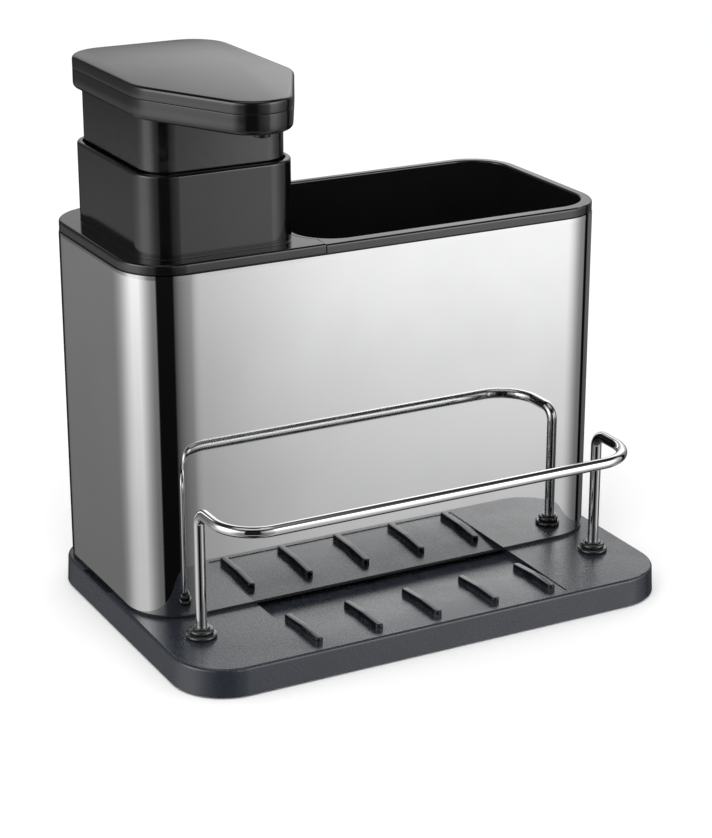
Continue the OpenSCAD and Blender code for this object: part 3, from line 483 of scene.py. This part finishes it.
def mark_proud_edges(mesh):
    """Writes the proud_edge attribute: it grows from 0 to 1 as a convex edge gets sharper."""
    work = bmesh.new()
    work.from_mesh(mesh)
    layer = work.verts.layers.float.get("proud_edge") or work.verts.layers.float.new("proud_edge")
    for vert in work.verts:
        turns = [e.calc_face_angle_signed(0.0) for e in vert.link_edges if len(e.link_faces) == 2]
        sharpest = math.degrees(max(turns, default=0.0))
        vert[layer] = max(0.0, min(1.0, (sharpest - PROUD_FROM) / PROUD_SPAN))
    work.to_mesh(mesh)
    work.free()


def coat_piece(piece, finish):
    """Gives a piece its one material and marks its edges."""
    piece.data.materials.clear()
    piece.data.materials.append(finish)
    mark_proud_edges(piece.data)


def ride_as(piece, node, finish):
    """Puts a finished piece in a CAD node's place: on the node's body, with its finish, and the node hidden.
    """
    coat_piece(piece, finish)
    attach(piece, BODY_OF[node])
    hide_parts(node)


CUP_MIDDLE = Vector((33.45, 23.95)) * MM
CUP_HALF = Vector((61.75, 41.1)) * MM
CUP_CORNER, CUP_EDGE = 15.5 * MM, 0.8 * MM
RIM_SLOPE, RIM_ZONE = math.tan(math.radians(2.75)), 1.1 * MM


def slope_rim(work):
    """Lets the top of the cup's rim fall outwards a little, as a moulded rim does to shed water."""
    top = max(v.co.z for v in work.verts)
    for vert in work.verts:
        if vert.co.z < top - RIM_ZONE:
            continue
        away = Vector((abs(vert.co.x - CUP_MIDDLE.x), abs(vert.co.y - CUP_MIDDLE.y))) - CUP_HALF
        away += Vector((CUP_CORNER, CUP_CORNER))
        corner = Vector((max(away.x, 0.0), max(away.y, 0.0))).length
        outside = corner + min(max(away.x, away.y), 0.0) - CUP_CORNER
        vert.co.z -= RIM_SLOPE * max(0.0, outside - CUP_EDGE)


MERGE_REACH = 0.002 * MM
FLAT_ANGLE = math.radians(0.3)
BEVEL_STEPS, BEVEL_WEIGHT = 2, 80


def dress(node, name, finish, bevel=0.0, angle=32, drop=None, reshape=None):
    """A merged copy of a CAD node with clean shading and eased edges, in the node's place."""
    mesh = frame["nodes"][node].data.copy()
    mesh.name = name
    for old in ("custom_normal", "sharp_edge", "sharp_face"):
        if old in mesh.attributes:
            mesh.attributes.remove(mesh.attributes[old])
    work = bmesh.new()
    work.from_mesh(mesh)
    bmesh.ops.remove_doubles(work, verts=work.verts, dist=MERGE_REACH)
    if drop:
        loose = [f for f in work.faces if drop(f.calc_center_median())]
        bmesh.ops.delete(work, geom=loose, context="FACES")
        open_edges = [e for e in work.edges if e.is_boundary]
        bmesh.ops.holes_fill(work, edges=open_edges, sides=0)
    bmesh.ops.dissolve_limit(work, angle_limit=FLAT_ANGLE, verts=work.verts, edges=work.edges)
    if reshape:
        reshape(work)
    work.to_mesh(mesh)
    work.free()
    piece = link(name, mesh)
    smooth(mesh, angle)
    if bevel:
        ease = piece.modifiers.new("eased_edges", "BEVEL")
        ease.width = bevel * MM
        ease.segments = BEVEL_STEPS
        ease.limit_method = "ANGLE"
        ease.angle_limit = math.radians(angle)
        ease.use_clamp_overlap = True
        even_normals(piece, BEVEL_WEIGHT, keep_sharp=False)
    ride_as(piece, node, finish)


# ---------------------------------------------------------------- steel sleeve

SHEET, SLEEVE_RADIUS, SLEEVE_EASE = 0.6 * MM, 20.0 * MM, 8.0 * MM
SHEET_ANGLE, SHEET_WEIGHT = 40, 100
CORNER_STEPS, FINE_STEPS = 36, 40
ROLL_HEIGHT, ROLL_DEPTH, ROLL_STEPS = 2.6 * MM, 0.11 * MM, 4
SHADOW_HEIGHT, SHADOW_DEPTH = 0.5 * MM, 0.5 * MM
# Height over the sheet's lower edge and how far the face lies inwards there
HEM = ((0.0, 0.12 * MM), (0.15 * MM, 0.03 * MM), (0.4 * MM, 0.0))


def eased_corner(radius, ease, steps, fine):
    """A quarter turn from heading +X to heading +Y whose ends ease into the flats: points and headings."""
    length = math.pi / 2 * radius + ease
    part = length / (steps * fine)
    x = y = turn = 0.0
    track = [(x, y, turn)]
    for i in range(steps * fine):
        along = (i + 0.5) * part
        half_turn = min(1.0, along / ease, (length - along) / ease) / radius * part / 2
        turn += half_turn
        x += part * math.cos(turn)
        y += part * math.sin(turn)
        turn += half_turn
        if (i + 1) % fine == 0:
            track.append((x, y, turn))
    return track


def sleeve_outline(half_w, half_d, y_mid, track):
    """The sleeve's outline, anticlockwise seen from above: points with their outward directions."""
    reach = track[-1][0]
    starts = ((half_w - reach, -half_d), (half_w, half_d - reach),
              (reach - half_w, half_d), (-half_w, reach - half_d))
    points = []
    for quarter, (x0, y0) in enumerate(starts):
        c, s = ((1, 0), (0, 1), (-1, 0), (0, -1))[quarter]
        for x, y, turn in track:
            heading = turn + math.pi / 2 * quarter
            points.append((x0 + c * x - s * y, y_mid + y0 + s * x + c * y,
                           math.sin(heading), -math.cos(heading)))
    return points


def bridge(work, lower, upper):
    """Quads between two closed rings of vertices."""
    n = len(lower)
    return [work.faces.new((lower[i], lower[(i + 1) % n], upper[(i + 1) % n], upper[i])) for i in range(n)]


def make_steel_wrapper(finish):
    """The polished wrapper: flat sides, eased corners, a rolled top with a shadow gap over it whose faces are
    marked for painted shade, and a wall.
    """
    low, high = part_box("steel_sleeve")
    half_w, half_d = (high.x - low.x) / 2, (high.y - low.y) / 2
    track = eased_corner(SLEEVE_RADIUS, SLEEVE_EASE, CORNER_STEPS, FINE_STEPS)
    outline = sleeve_outline(half_w, half_d, (high.y + low.y) / 2, track)
    roll_low, roll_high = high.z - ROLL_HEIGHT, high.z - SHADOW_HEIGHT
    levels = [(low.z + rise, inset) for rise, inset in HEM] + [(roll_low, 0.0)]
    for step in range(1, ROLL_STEPS + 1):
        share = step / ROLL_STEPS
        levels.append((roll_low + (roll_high - roll_low) * share, ROLL_DEPTH * share * share))
    levels += [(roll_high, SHADOW_DEPTH), (high.z, SHADOW_DEPTH), (high.z, SHEET), (low.z, SHEET)]
    work = bmesh.new()
    gap_shade = work.verts.layers.float.new("painted_gap_shade")
    rings = []
    for z, inset in levels:
        rings.append([work.verts.new((x - nx * inset, y - ny * inset, z)) for x, y, nx, ny in outline])
        for vert in rings[-1]:
            # Painted shade: the shadow gap and the sheet's top edge are marked to be coloured near-black.
            vert[gap_shade] = 1.0 if inset >= SHADOW_DEPTH and z > roll_low else 0.0
    for lower, upper in zip(rings, rings[1:] + rings[:1]):
        bridge(work, lower, upper)
    piece = solid_piece(work, "steel_wrapper")
    smooth(piece.data, SHEET_ANGLE)
    even_normals(piece, SHEET_WEIGHT, keep_sharp=True)
    ride_as(piece, "steel_sleeve", finish)


# ---------------------------------------------------------------- geometry node helpers

def new_tree(name, inputs):
    """A geometry tree with one geometry output and named inputs."""
    tree = bpy.data.node_groups.new(name, "GeometryNodeTree")
    tree.interface.new_socket("Geometry", in_out="INPUT", socket_type=GEOMETRY)
    for label, kind, value in inputs:
        socket = tree.interface.new_socket(label, in_out="INPUT", socket_type=kind)
        if value is not None:
            socket.default_value = value
    tree.interface.new_socket("Geometry", in_out="OUTPUT", socket_type=GEOMETRY)
    return tree, tree.nodes.new("NodeGroupInput").outputs, tree.nodes.new("NodeGroupOutput")


def end_tree(tree, geometry, given, sink):
    """The end of each tree: real geometry with its material."""
    real = add(tree, "GeometryNodeRealizeInstances", None, {"Geometry": geometry}).outputs[0]
    done = add(tree, "GeometryNodeSetMaterial", None, {
        "Geometry": real, "Material": given["Finish"]}).outputs[0]
    tree.links.new(done, sink.inputs[0])
    return tree


def sweep_wire(tree, path, given, sink):
    """A round wire along a path."""
    radius = maths(tree, "MULTIPLY", given["Wire Thickness"], 0.5)
    ring = add(tree, "GeometryNodeCurvePrimitiveCircle", None, {
        "Resolution": given["Wire Sides"], "Radius": radius}).outputs["Curve"]
    wire = add(tree, "GeometryNodeCurveToMesh", None, {
        "Curve": path, "Profile Curve": ring, "Fill Caps": True}).outputs["Mesh"]
    even = add(tree, "GeometryNodeSetShadeSmooth", None, {"Geometry": wire}).outputs[0]
    return end_tree(tree, even, given, sink)


def run_tree(piece, tree, values):
    """Runs a geometry tree on a piece with named inputs and keeps the plain mesh that comes out."""
    modifier = piece.modifiers.new(tree.name, "NODES")
    modifier.node_group = tree
    for item in tree.interface.items_tree:
        if item.item_type == "SOCKET" and item.in_out == "INPUT" and item.name in values:
            modifier[item.identifier] = values[item.name]
    settle(piece)


# ---------------------------------------------------------------- sponge rail

RAIL_WIRE = 4.2 * MM
POST_BEND, BAR_BEND = 5.0 * MM, 16.0 * MM
RAIL_SIDES, BEND_STEPS = 56, 20
RAIL_ANGLE = 40


def make_rail_tree():
    """Wire along a path: each corner is bent by its own radius, then the round section follows."""
    tree, given, sink = new_tree("bent_wire", [
        ("Wire Thickness", FLOAT, 0.0042), ("Wire Sides", WHOLE, 48),
        ("Bend Steps", WHOLE, 16), ("Finish", MATERIAL, None)])
    path = add(tree, "GeometryNodeMeshToCurve", None, {"Mesh": given["Geometry"]}).outputs["Curve"]
    bend = add(tree, "GeometryNodeInputNamedAttribute", {"data_type": "FLOAT"}, {"Name": "bend_radius"})
    rounded = add(tree, "GeometryNodeFilletCurve", {"mode": "POLY"}, {
        "Curve": path, "Count": given["Bend Steps"], "Radius": bend.outputs["Attribute"]})
    return sweep_wire(tree, rounded.outputs["Curve"], given, sink)


def make_rail(finish):
    """The chrome rail, bent from one wire along the CAD rail's centre line."""
    low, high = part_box("sponge_rail")
    post_x, front_y = high.x - RAIL_WIRE / 2, low.y + RAIL_WIRE / 2
    post_y, top_z, foot_z = high.y - RAIL_WIRE / 2, high.z - RAIL_WIRE / 2, low.z
    corners = [((-post_x, post_y, foot_z), 0.0), ((-post_x, post_y, top_z), POST_BEND),
               ((-post_x, front_y, top_z), BAR_BEND), ((post_x, front_y, top_z), BAR_BEND),
               ((post_x, post_y, top_z), POST_BEND), ((post_x, post_y, foot_z), 0.0)]
    piece = wire_path("rail_wire", [place for place, _ in corners])
    bends = piece.data.attributes.new("bend_radius", "FLOAT", "POINT")
    bends.data.foreach_set("value", [radius for _, radius in corners])
    run_tree(piece, make_rail_tree(), {
        "Wire Thickness": RAIL_WIRE, "Wire Sides": RAIL_SIDES, "Bend Steps": BEND_STEPS, "Finish": finish})
    smooth(piece.data, RAIL_ANGLE)
    ride_as(piece, "sponge_rail", finish)


# ---------------------------------------------------------------- sponge ribs

RIB_COUNT, RIB_PITCH = 5, 25.0 * MM
RIB_WIDTH, RIB_HEIGHT = 3.2 * MM, 2.5 * MM
RIB_FRONT, RIB_REAR = -64.55 * MM, -36.95 * MM
RIB_CROWN, RIB_FOOT, RIB_DRAFT = 0.6 * MM, 0.3 * MM, 0.06 * MM
RIB_END_STEPS, RIB_CROWN_STEPS = 16, 6
RIB_ANGLE = 50
BED_LEVEL, RAMP_FRONT, RAMP_FALL = 11.1 * MM, -50.55 * MM, 2.4 / 28.4
RAMP_EASE = 1.0 * MM
NEAR = 0.05 * MM


def bed_height(y):
    """Height of the sponge bed, level in front and falling towards the holder behind."""
    return BED_LEVEL - max(0.0, y - RAMP_FRONT) * RAMP_FALL


def is_rib(point):
    """Whether a point of the tray belongs to one of its ribs."""
    across = min(abs(point.x - (i - (RIB_COUNT - 1) / 2) * RIB_PITCH) for i in range(RIB_COUNT))
    along = RIB_FRONT - NEAR < point.y < RIB_REAR + NEAR
    return across < RIB_WIDTH / 2 + NEAR and along and point.z > bed_height(point.y) + NEAR


def make_rib_tree():
    """One rib repeated at an even pitch."""
    tree, given, sink = new_tree("rib_row", [
        ("Rib Count", WHOLE, 5), ("Rib Pitch", FLOAT, 0.025), ("Finish", MATERIAL, None)])
    last = maths(tree, "SUBTRACT", given["Rib Count"], 1.0)
    reach = times(tree, last, given["Rib Pitch"], -0.5)
    start = add(tree, "ShaderNodeCombineXYZ", None, {"X": reach}).outputs[0]
    step = add(tree, "ShaderNodeCombineXYZ", None, {"X": given["Rib Pitch"]}).outputs[0]
    row = add(tree, "GeometryNodeMeshLine", None, {
        "Count": given["Rib Count"], "Start Location": start, "Offset": step}).outputs["Mesh"]
    ribs = add(tree, "GeometryNodeInstanceOnPoints", None, {
        "Points": row, "Instance": given["Geometry"]}).outputs["Instances"]
    return end_tree(tree, ribs, given, sink)


def rib_outline(inset):
    """A rib's outline seen from above, with round ends and points where the ramp starts."""
    r, outline = RIB_WIDTH / 2 - inset, []
    ends = ((RIB_REAR - RIB_WIDTH / 2, 0, -1), (RIB_FRONT + RIB_WIDTH / 2, 180, 1))
    for middle, turn, side in ends:
        for i in range(RIB_END_STEPS + 1):
            a = math.radians(turn + 180 * i / RIB_END_STEPS)
            outline.append((r * math.cos(a), middle + r * math.sin(a)))
        outline += [(side * r, RAMP_FRONT - side * k * RAMP_EASE) for k in (1, 0, -1)]
    return outline


def cap_rib(work, top):
    """Closes a rib's back with faces across it, from its rear tip to its front tip."""
    n, tip = len(top), RIB_END_STEPS // 2
    work.faces.new((top[tip], top[tip + 1], top[tip - 1]))
    for i in range(1, n // 2):
        a, b = top[(tip + i) % n], top[(tip + i + 1) % n]
        c, d = top[(tip - i - 1) % n], top[(tip - i) % n]
        work.faces.new((a, b, d) if b is c else (a, b, c, d))


def make_ribs(finish):
    """The sponge ribs: round-ended and round-backed, each following the fall of the bed."""
    levels = [(-RIB_FOOT, 0.0), (RIB_HEIGHT - RIB_CROWN, RIB_DRAFT)]
    for step in range(1, RIB_CROWN_STEPS + 1):
        turn = math.radians(90 * step / RIB_CROWN_STEPS)
        levels.append((RIB_HEIGHT - RIB_CROWN + RIB_CROWN * math.sin(turn),
                       RIB_DRAFT + RIB_CROWN * (1 - math.cos(turn))))
    work = bmesh.new()
    rings = [[work.verts.new((x, y, bed_height(y) + height)) for x, y in rib_outline(inset)]
             for height, inset in levels]
    for lower, upper in zip(rings, rings[1:]):
        bridge(work, lower, upper)
    cap_rib(work, rings[-1])
    work.faces.new(tuple(reversed(rings[0])))
    bmesh.ops.triangulate(work, faces=[f for f in work.faces if len(f.verts) > 4])
    piece = solid_piece(work, "sponge_ribs")
    piece.data.shade_smooth()
    run_tree(piece, make_rib_tree(), {"Rib Count": RIB_COUNT, "Rib Pitch": RIB_PITCH, "Finish": finish})
    smooth(piece.data, RIB_ANGLE)
    coat_piece(piece, finish)
    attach(piece, BODY_OF["base_tray"])


# ---------------------------------------------------------------- rail bushings

BUSHING_BORE, BUSHING_STEM = 2.16 * MM, 3.5 * MM
DISC_HEIGHT, BEAD_HEIGHT, LIP_HEIGHT = 1.5 * MM, 1.9 * MM, 0.7 * MM
BEAD_RADIUS, LIP_RADIUS = 4.65 * MM, 3.3 * MM
BUSHING_ANGLE = 50
LATHE_STEPS, RIM_STEPS = 96, 8


def lathe(name, profile, centres):
    """A closed profile of (radius, height) points turned about one or more upright axes."""
    work = bmesh.new()
    n = len(profile)
    for cx, cy in centres:
        rings = []
        for i in range(LATHE_STEPS):
            a = 2 * math.pi * i / LATHE_STEPS
            rings.append([work.verts.new((cx + r * math.cos(a), cy + r * math.sin(a), z))
                          for r, z in profile])
        for this, that in zip(rings, rings[1:] + rings[:1]):
            for j in range(n):
                work.faces.new((this[j], that[j], that[(j + 1) % n], this[(j + 1) % n]))
    return solid_piece(work, name)


def half_round(outer, z0, z1):
    """Profile points of a rim that is round between two heights."""
    middle, r = (z0 + z1) / 2, (z1 - z0) / 2
    turns = [math.radians(180 * i / RIM_STEPS - 90) for i in range(RIM_STEPS + 1)]
    return [(outer - r + r * math.cos(a), middle + r * math.sin(a)) for a in turns]


def make_bushings(finish):
    """The two bushings that the rail stands in: a disc, a bead and a lip, each with a round rim."""
    low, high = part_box("rail_bushings")
    outer = (high.y - low.y) / 2
    z_lip = high.z - LIP_HEIGHT
    z_bead = z_lip - BEAD_HEIGHT
    seat = z_bead - DISC_HEIGHT
    profile = [(BUSHING_BORE, low.z), (BUSHING_STEM, low.z), (BUSHING_STEM, seat)]
    profile += half_round(outer, seat, z_bead) + half_round(BEAD_RADIUS, z_bead, z_lip)
    profile += half_round(LIP_RADIUS, z_lip, high.z) + [(BUSHING_BORE, high.z)]
    x, y = high.x - outer, (high.y + low.y) / 2
    piece = lathe("rail_bushing_pair", profile, [(-x, y), (x, y)])
    smooth(piece.data, BUSHING_ANGLE)
    ride_as(piece, "rail_bushings", finish)


# ---------------------------------------------------------------- pump spring

SPRING_WIRE, SPRING_WIDTH = 1.1 * MM, 13.6 * MM
SPRING_TURNS, END_GAP = 8, 0.5 * MM
TURN_STEPS, SPRING_SIDES = 48, 16
SPRING_ANGLE = 50


def make_spring_tree():
    """A compression spring: a spiral with closer end turns, swept by a round wire."""
    tree, given, sink = new_tree("coiled_wire", [
        ("Wire Thickness", FLOAT, 0.0011), ("Wire Sides", WHOLE, 16), ("Finish", MATERIAL, None)])
    path = add(tree, "GeometryNodeMeshToCurve", None, {"Mesh": given["Geometry"]}).outputs["Curve"]
    return sweep_wire(tree, path, given, sink)


def make_spring(finish):
    """The return spring: one round wire coiled about the CAD spring's axis."""
    low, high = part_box("pump_spring")
    cx, cy = (low.x + high.x) / 2, (low.y + high.y) / 2
    core = (SPRING_WIDTH - SPRING_WIRE) / 2
    height = high.z - low.z
    end_pitch = SPRING_WIRE + END_GAP
    pitch = (height - SPRING_WIRE - 2 * end_pitch) / (SPRING_TURNS - 2)
    points = []
    for i in range(SPRING_TURNS * TURN_STEPS + 1):
        n = i / TURN_STEPS
        a = 2 * math.pi * n
        ends = end_pitch * (min(n, 1) + max(n - SPRING_TURNS + 1, 0))
        z = SPRING_WIRE / 2 + ends + pitch * min(max(n - 1, 0), SPRING_TURNS - 2)
        points.append((cx + core * math.cos(a), cy + core * math.sin(a), low.z + z))
    piece = wire_path("return_spring", points)
    run_tree(piece, make_spring_tree(), {
        "Wire Thickness": SPRING_WIRE, "Wire Sides": SPRING_SIDES, "Finish": finish})
    smooth(piece.data, SPRING_ANGLE)
    ride_as(piece, "pump_spring", finish)
    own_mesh(piece)


# ---------------------------------------------------------------- studio

FLOOR_REACH = 14.0


def make_floor():
    """A plain pale floor under the caddy."""
    r = FLOOR_REACH
    mesh = bpy.data.meshes.new("studio_floor")
    mesh.from_pydata([(-r, -r, 0), (r, -r, 0), (r, r, 0), (-r, r, 0)], [], [(0, 1, 2, 3)])
    floor = link("studio_floor", mesh)
    material, tree, shader = start_material("pale_floor")
    feed(tree, shader, {"Base Color": (0.93, 0.93, 0.93, 1.0), "Roughness": 0.9, "Specular IOR Level": 0.1})
    mesh.materials.append(material)
    floor.visible_glossy = False


# What polished faces see around them: degrees from the front, positive to the right, and brightness
AROUND = (
    (-180, 0.02), (-174, 0.02), (-169, 0.17), (-158, 0.19), (-142, 0.35), (-128, 0.56), (-116, 0.84),
    (-104, 1.12), (-86, 1.15), (-75, 0.78), (-66, 0.50), (-56, 0.29), (-48, 0.25), (-46, 0.006),
    (-11.5, 0.006), (-9, 0.08), (0, 0.19), (19, 0.35), (24.3, 0.68), (26.5, 0.95), (30, 1.06),
    (40, 1.06), (50, 0.80), (60, 0.52), (72, 0.29), (86.5, 0.22), (88.5, 0.005), (100, 0.005),
    (102.5, 0.12), (142, 0.12), (151, 0.02), (179, 0.02),
)
AROUND_WHITE = 1.25
# What they see below them, in front and behind: 0 is straight down, 1 is level
STEEP = (
    (0.0, 0.33), (0.6, 0.45), (0.74, 0.56), (0.76, 0.62), (0.782, 0.75), (0.796, 0.84), (0.81, 0.96),
    (0.823, 1.04), (1.0, 1.1),
)
GENTLE = ((0.0, 0.6), (0.74, 0.85), (0.82, 1.05), (1.0, 1.1))
BELOW_GAIN = 1.2
# Where their light changes: from one angle to another in degrees, and from what value to what, or 0 to 1
BEHIND_TURN, BEHIND_LOSS = (-100, -135), 0.75
HORIZON_LIFT = (-9, 8)
WALL_LIFT = (0, 14, 1.85, 2.8)
CEILING_LIFT = (31, 43, 1.0, 0.06)
ZENITH_LIFT = (62, 72, 0.0, 0.5)
REAR_BOX_START, REAR_BOX_FALL, REAR_BOX_LIFT = (110, 125), (146, 162, 1.0, 0.36), (-1, 9)
REAR_SHADE_TURN, REAR_SHADE_LIFT = (145, 149, 0.55, 0.0), (17, 20, 1.0, 0.0)
TALL_BOX_START, TALL_BOX_END = (-125, -108), (-75, -62, 0.6, 0.0)
LEFT_SHADE_TURN, LEFT_SHADE_LIFT = (-50, -40, 0.5, 0.0), (-15, -12)
GLOW_START, GLOW_END = (-29, -35, 0.0, 0.3), (-50, -43)
POLISHED_STRENGTH, PLAIN_STRENGTH = 1.32, 1.04


def studio_ramp(tree, value, stops, gain=1.0):
    """A grey ramp over stops of (place, brightness)."""
    node = add(tree, "ShaderNodeValToRGB", None, {0: value})
    ramp = node.color_ramp
    ramp.interpolation = "LINEAR"
    while len(ramp.elements) > 1:
        ramp.elements.remove(ramp.elements[-1])
    ramp.elements[0].position = stops[0][0]
    ramp.elements[0].color = grey(stops[0][1] * gain)
    for place, brightness in stops[1:]:
        ramp.elements.new(place).color = grey(brightness * gain)
    return node.outputs["Color"]


def arc(tree, turn, low, high, to_low=0.0, to_high=1.0, smooth=True):
    """A value that changes between two turns, given in degrees."""
    return span(tree, turn, math.radians(low), math.radians(high), to_low, to_high, smooth)


def rest_of(tree, value):
    """What a value leaves of 1."""
    return maths(tree, "SUBTRACT", 1.0, value)


def light_above(tree, lift, around, behind, ceiling):
    """The softboxes over the horizon, stronger higher up and weaker behind, under a dark ceiling."""
    loss = rest_of(tree, times(tree, behind, BEHIND_LOSS))
    gain = times(tree, span(tree, lift, *WALL_LIFT), ceiling, loss)
    return mix(tree, 1.0, around, gain, "MULTIPLY")


def light_behind(tree, turn, lift, ceiling):
    """A box behind the caddy, shaded at its right end, and the light straight overhead."""
    shade = times(tree, arc(tree, turn, *REAR_SHADE_TURN), span(tree, lift, *REAR_SHADE_LIFT))
    box = times(tree, arc(tree, turn, *REAR_BOX_FALL, smooth=False), span(tree, lift, *REAR_BOX_LIFT),
                ceiling, rest_of(tree, shade), arc(tree, turn, *REAR_BOX_START))
    return maths(tree, "ADD", box, span(tree, lift, *ZENITH_LIFT))


def light_below(tree, turn, lift, around, behind):
    """The floor under the horizon, with a shade at the left that the tall box cuts off, and a faint glow."""
    below = span(tree, lift, -90.0, 0.0, smooth=False)
    lower = mix(tree, behind, studio_ramp(tree, below, STEEP, BELOW_GAIN),
                studio_ramp(tree, below, GENTLE, BELOW_GAIN))
    tall_box = times(tree, arc(tree, turn, *TALL_BOX_START), arc(tree, turn, *TALL_BOX_END))
    shade = times(tree, arc(tree, turn, *LEFT_SHADE_TURN), span(tree, lift, *LEFT_SHADE_LIFT),
                  rest_of(tree, tall_box))
    floorward = mix(tree, 1.0, around, mix(tree, shade, lower, grey(0.0)), "MULTIPLY")
    glow = times(tree, span(tree, lift, *GLOW_START), span(tree, lift, *GLOW_END))
    return mix(tree, 1.0, floorward, glow, "LIGHTEN")


def make_world():
    """Soft white studio. Polished faces also see its softboxes, the dark gaps and the dark ceiling."""
    world = bpy.data.worlds.new("soft_studio")
    bpy.context.scene.world = world
    world.use_nodes = True
    tree = world.node_tree
    tree.nodes.clear()
    towards = add(tree, "ShaderNodeSeparateXYZ", None, {
        0: add(tree, "ShaderNodeTexCoord").outputs["Generated"]}).outputs
    turn = maths(tree, "ARCTAN2", towards["X"], times(tree, towards["Y"], -1.0))
    lift = maths(tree, "DEGREES", maths(tree, "ARCSINE", towards["Z"]))
    place = maths(tree, "MULTIPLY_ADD", turn, 0.5 / math.pi, 0.5)
    around = studio_ramp(tree, place, [((a + 180) / 360, b / AROUND_WHITE) for a, b in AROUND])
    behind = arc(tree, turn, *BEHIND_TURN)
    ceiling = span(tree, lift, *CEILING_LIFT)
    seen = mix(tree, span(tree, lift, *HORIZON_LIFT), light_below(tree, turn, lift, around, behind),
               light_above(tree, lift, around, behind, ceiling))
    seen = mix(tree, 1.0, seen, light_behind(tree, turn, lift, ceiling), "ADD")
    polished_view = add(tree, "ShaderNodeBackground", None, {
        "Color": seen, "Strength": POLISHED_STRENGTH}).outputs[0]
    plain_view = add(tree, "ShaderNodeBackground", None, {
        "Color": (1.0, 1.0, 1.0, 1.0), "Strength": PLAIN_STRENGTH}).outputs[0]
    both = add(tree, "ShaderNodeMixShader", None, {
        0: add(tree, "ShaderNodeLightPath").outputs["Is Glossy Ray"], 1: plain_view, 2: polished_view})
    add(tree, "ShaderNodeOutputWorld", None, {"Surface": both.outputs[0]})
    world.cycles.sampling_method = "NONE"


KEY_PLACE, KEY_TARGET = Vector((-0.55, -0.75, 1.25)), Vector((0, 0, 0.08))
KEY_WIDTH, KEY_DEPTH, KEY_POWER = 1.2, 0.9, 9.0


def make_lights():
    """One wide soft light over the left of the camera."""
    data = bpy.data.lights.new("soft_key", "AREA")
    data.shape = "RECTANGLE"
    data.size, data.size_y = KEY_WIDTH, KEY_DEPTH
    data.energy = KEY_POWER
    light = bpy.data.objects.new("soft_key", data)
    light.location = KEY_PLACE
    light.rotation_mode = "QUATERNION"
    light.rotation_quaternion = (KEY_TARGET - KEY_PLACE).to_track_quat("-Z", "Y")
    light.visible_glossy = False
    bpy.context.scene.collection.objects.link(light)


# ---------------------------------------------------------------- the caddy in its studio

# CAD node, its new piece, bevel in mm and the angle in degrees from which an edge counts as sharp
DRESSED = (
    ("base_tray", "drip_tray", 0.25, 30), ("tray_feet", "rubber_feet", 0.3, 32),
    ("rail_washers", "washer_pair", 0.08, 32), ("rail_screws", "screw_pair", 0.12, 32),
    ("holder_base", "holder_floor", 0.2, 32), ("brush_cup", "brush_cup_shell", 0.2, 32),
    ("soap_bottle", "soap_tank", 0.25, 32), ("pump_deck", "deck_and_collar", 0.2, 32),
    ("deck_gasket", "tank_gasket", 0.1, 32), ("barrel_gasket", "flange_gasket", 0.1, 32),
    ("pump_barrel", "barrel_shell", 0.15, 32), ("barrel_cap", "piston_stop_cap", 0.15, 32),
    ("locking_ring", "grip_ring", 0.15, 32), ("dip_tube", "suction_tube", 0.12, 32),
    ("inlet_ball", "suction_check_ball", 0.0, 60), ("pump_stem", "hollow_stem", 0.12, 32),
    ("piston", "piston_core", 0.12, 32), ("piston_seal", "piston_lip_seal", 0.1, 32),
    ("outlet_ball", "delivery_check_ball", 0.0, 60), ("head_body", "head_lower_shell", 0.0, 28),
    ("head_cover", "head_lid", 0.0, 28), ("nozzle_tip", "outlet_nozzle", 0.15, 32),
)
RESHAPED = {"base_tray": {"drop": is_rib}, "brush_cup": {"reshape": slope_rim}}

place_camera()
finishes = make_materials()
finish_of = {node: finishes[slot] for node, slot in SLOT_OF.items()}

make_steel_wrapper(finish_of["steel_sleeve"])
make_rail(finish_of["sponge_rail"])
make_bushings(finish_of["rail_bushings"])
make_spring(finish_of["pump_spring"])
for node, name, bevel, angle in DRESSED:
    dress(node, name, finish_of[node], bevel, angle, **RESHAPED.get(node, {}))
make_ribs(finishes["ribs"])

make_floor()
make_world()
make_lights()
bpy.context.scene.view_settings.view_transform = "Standard"
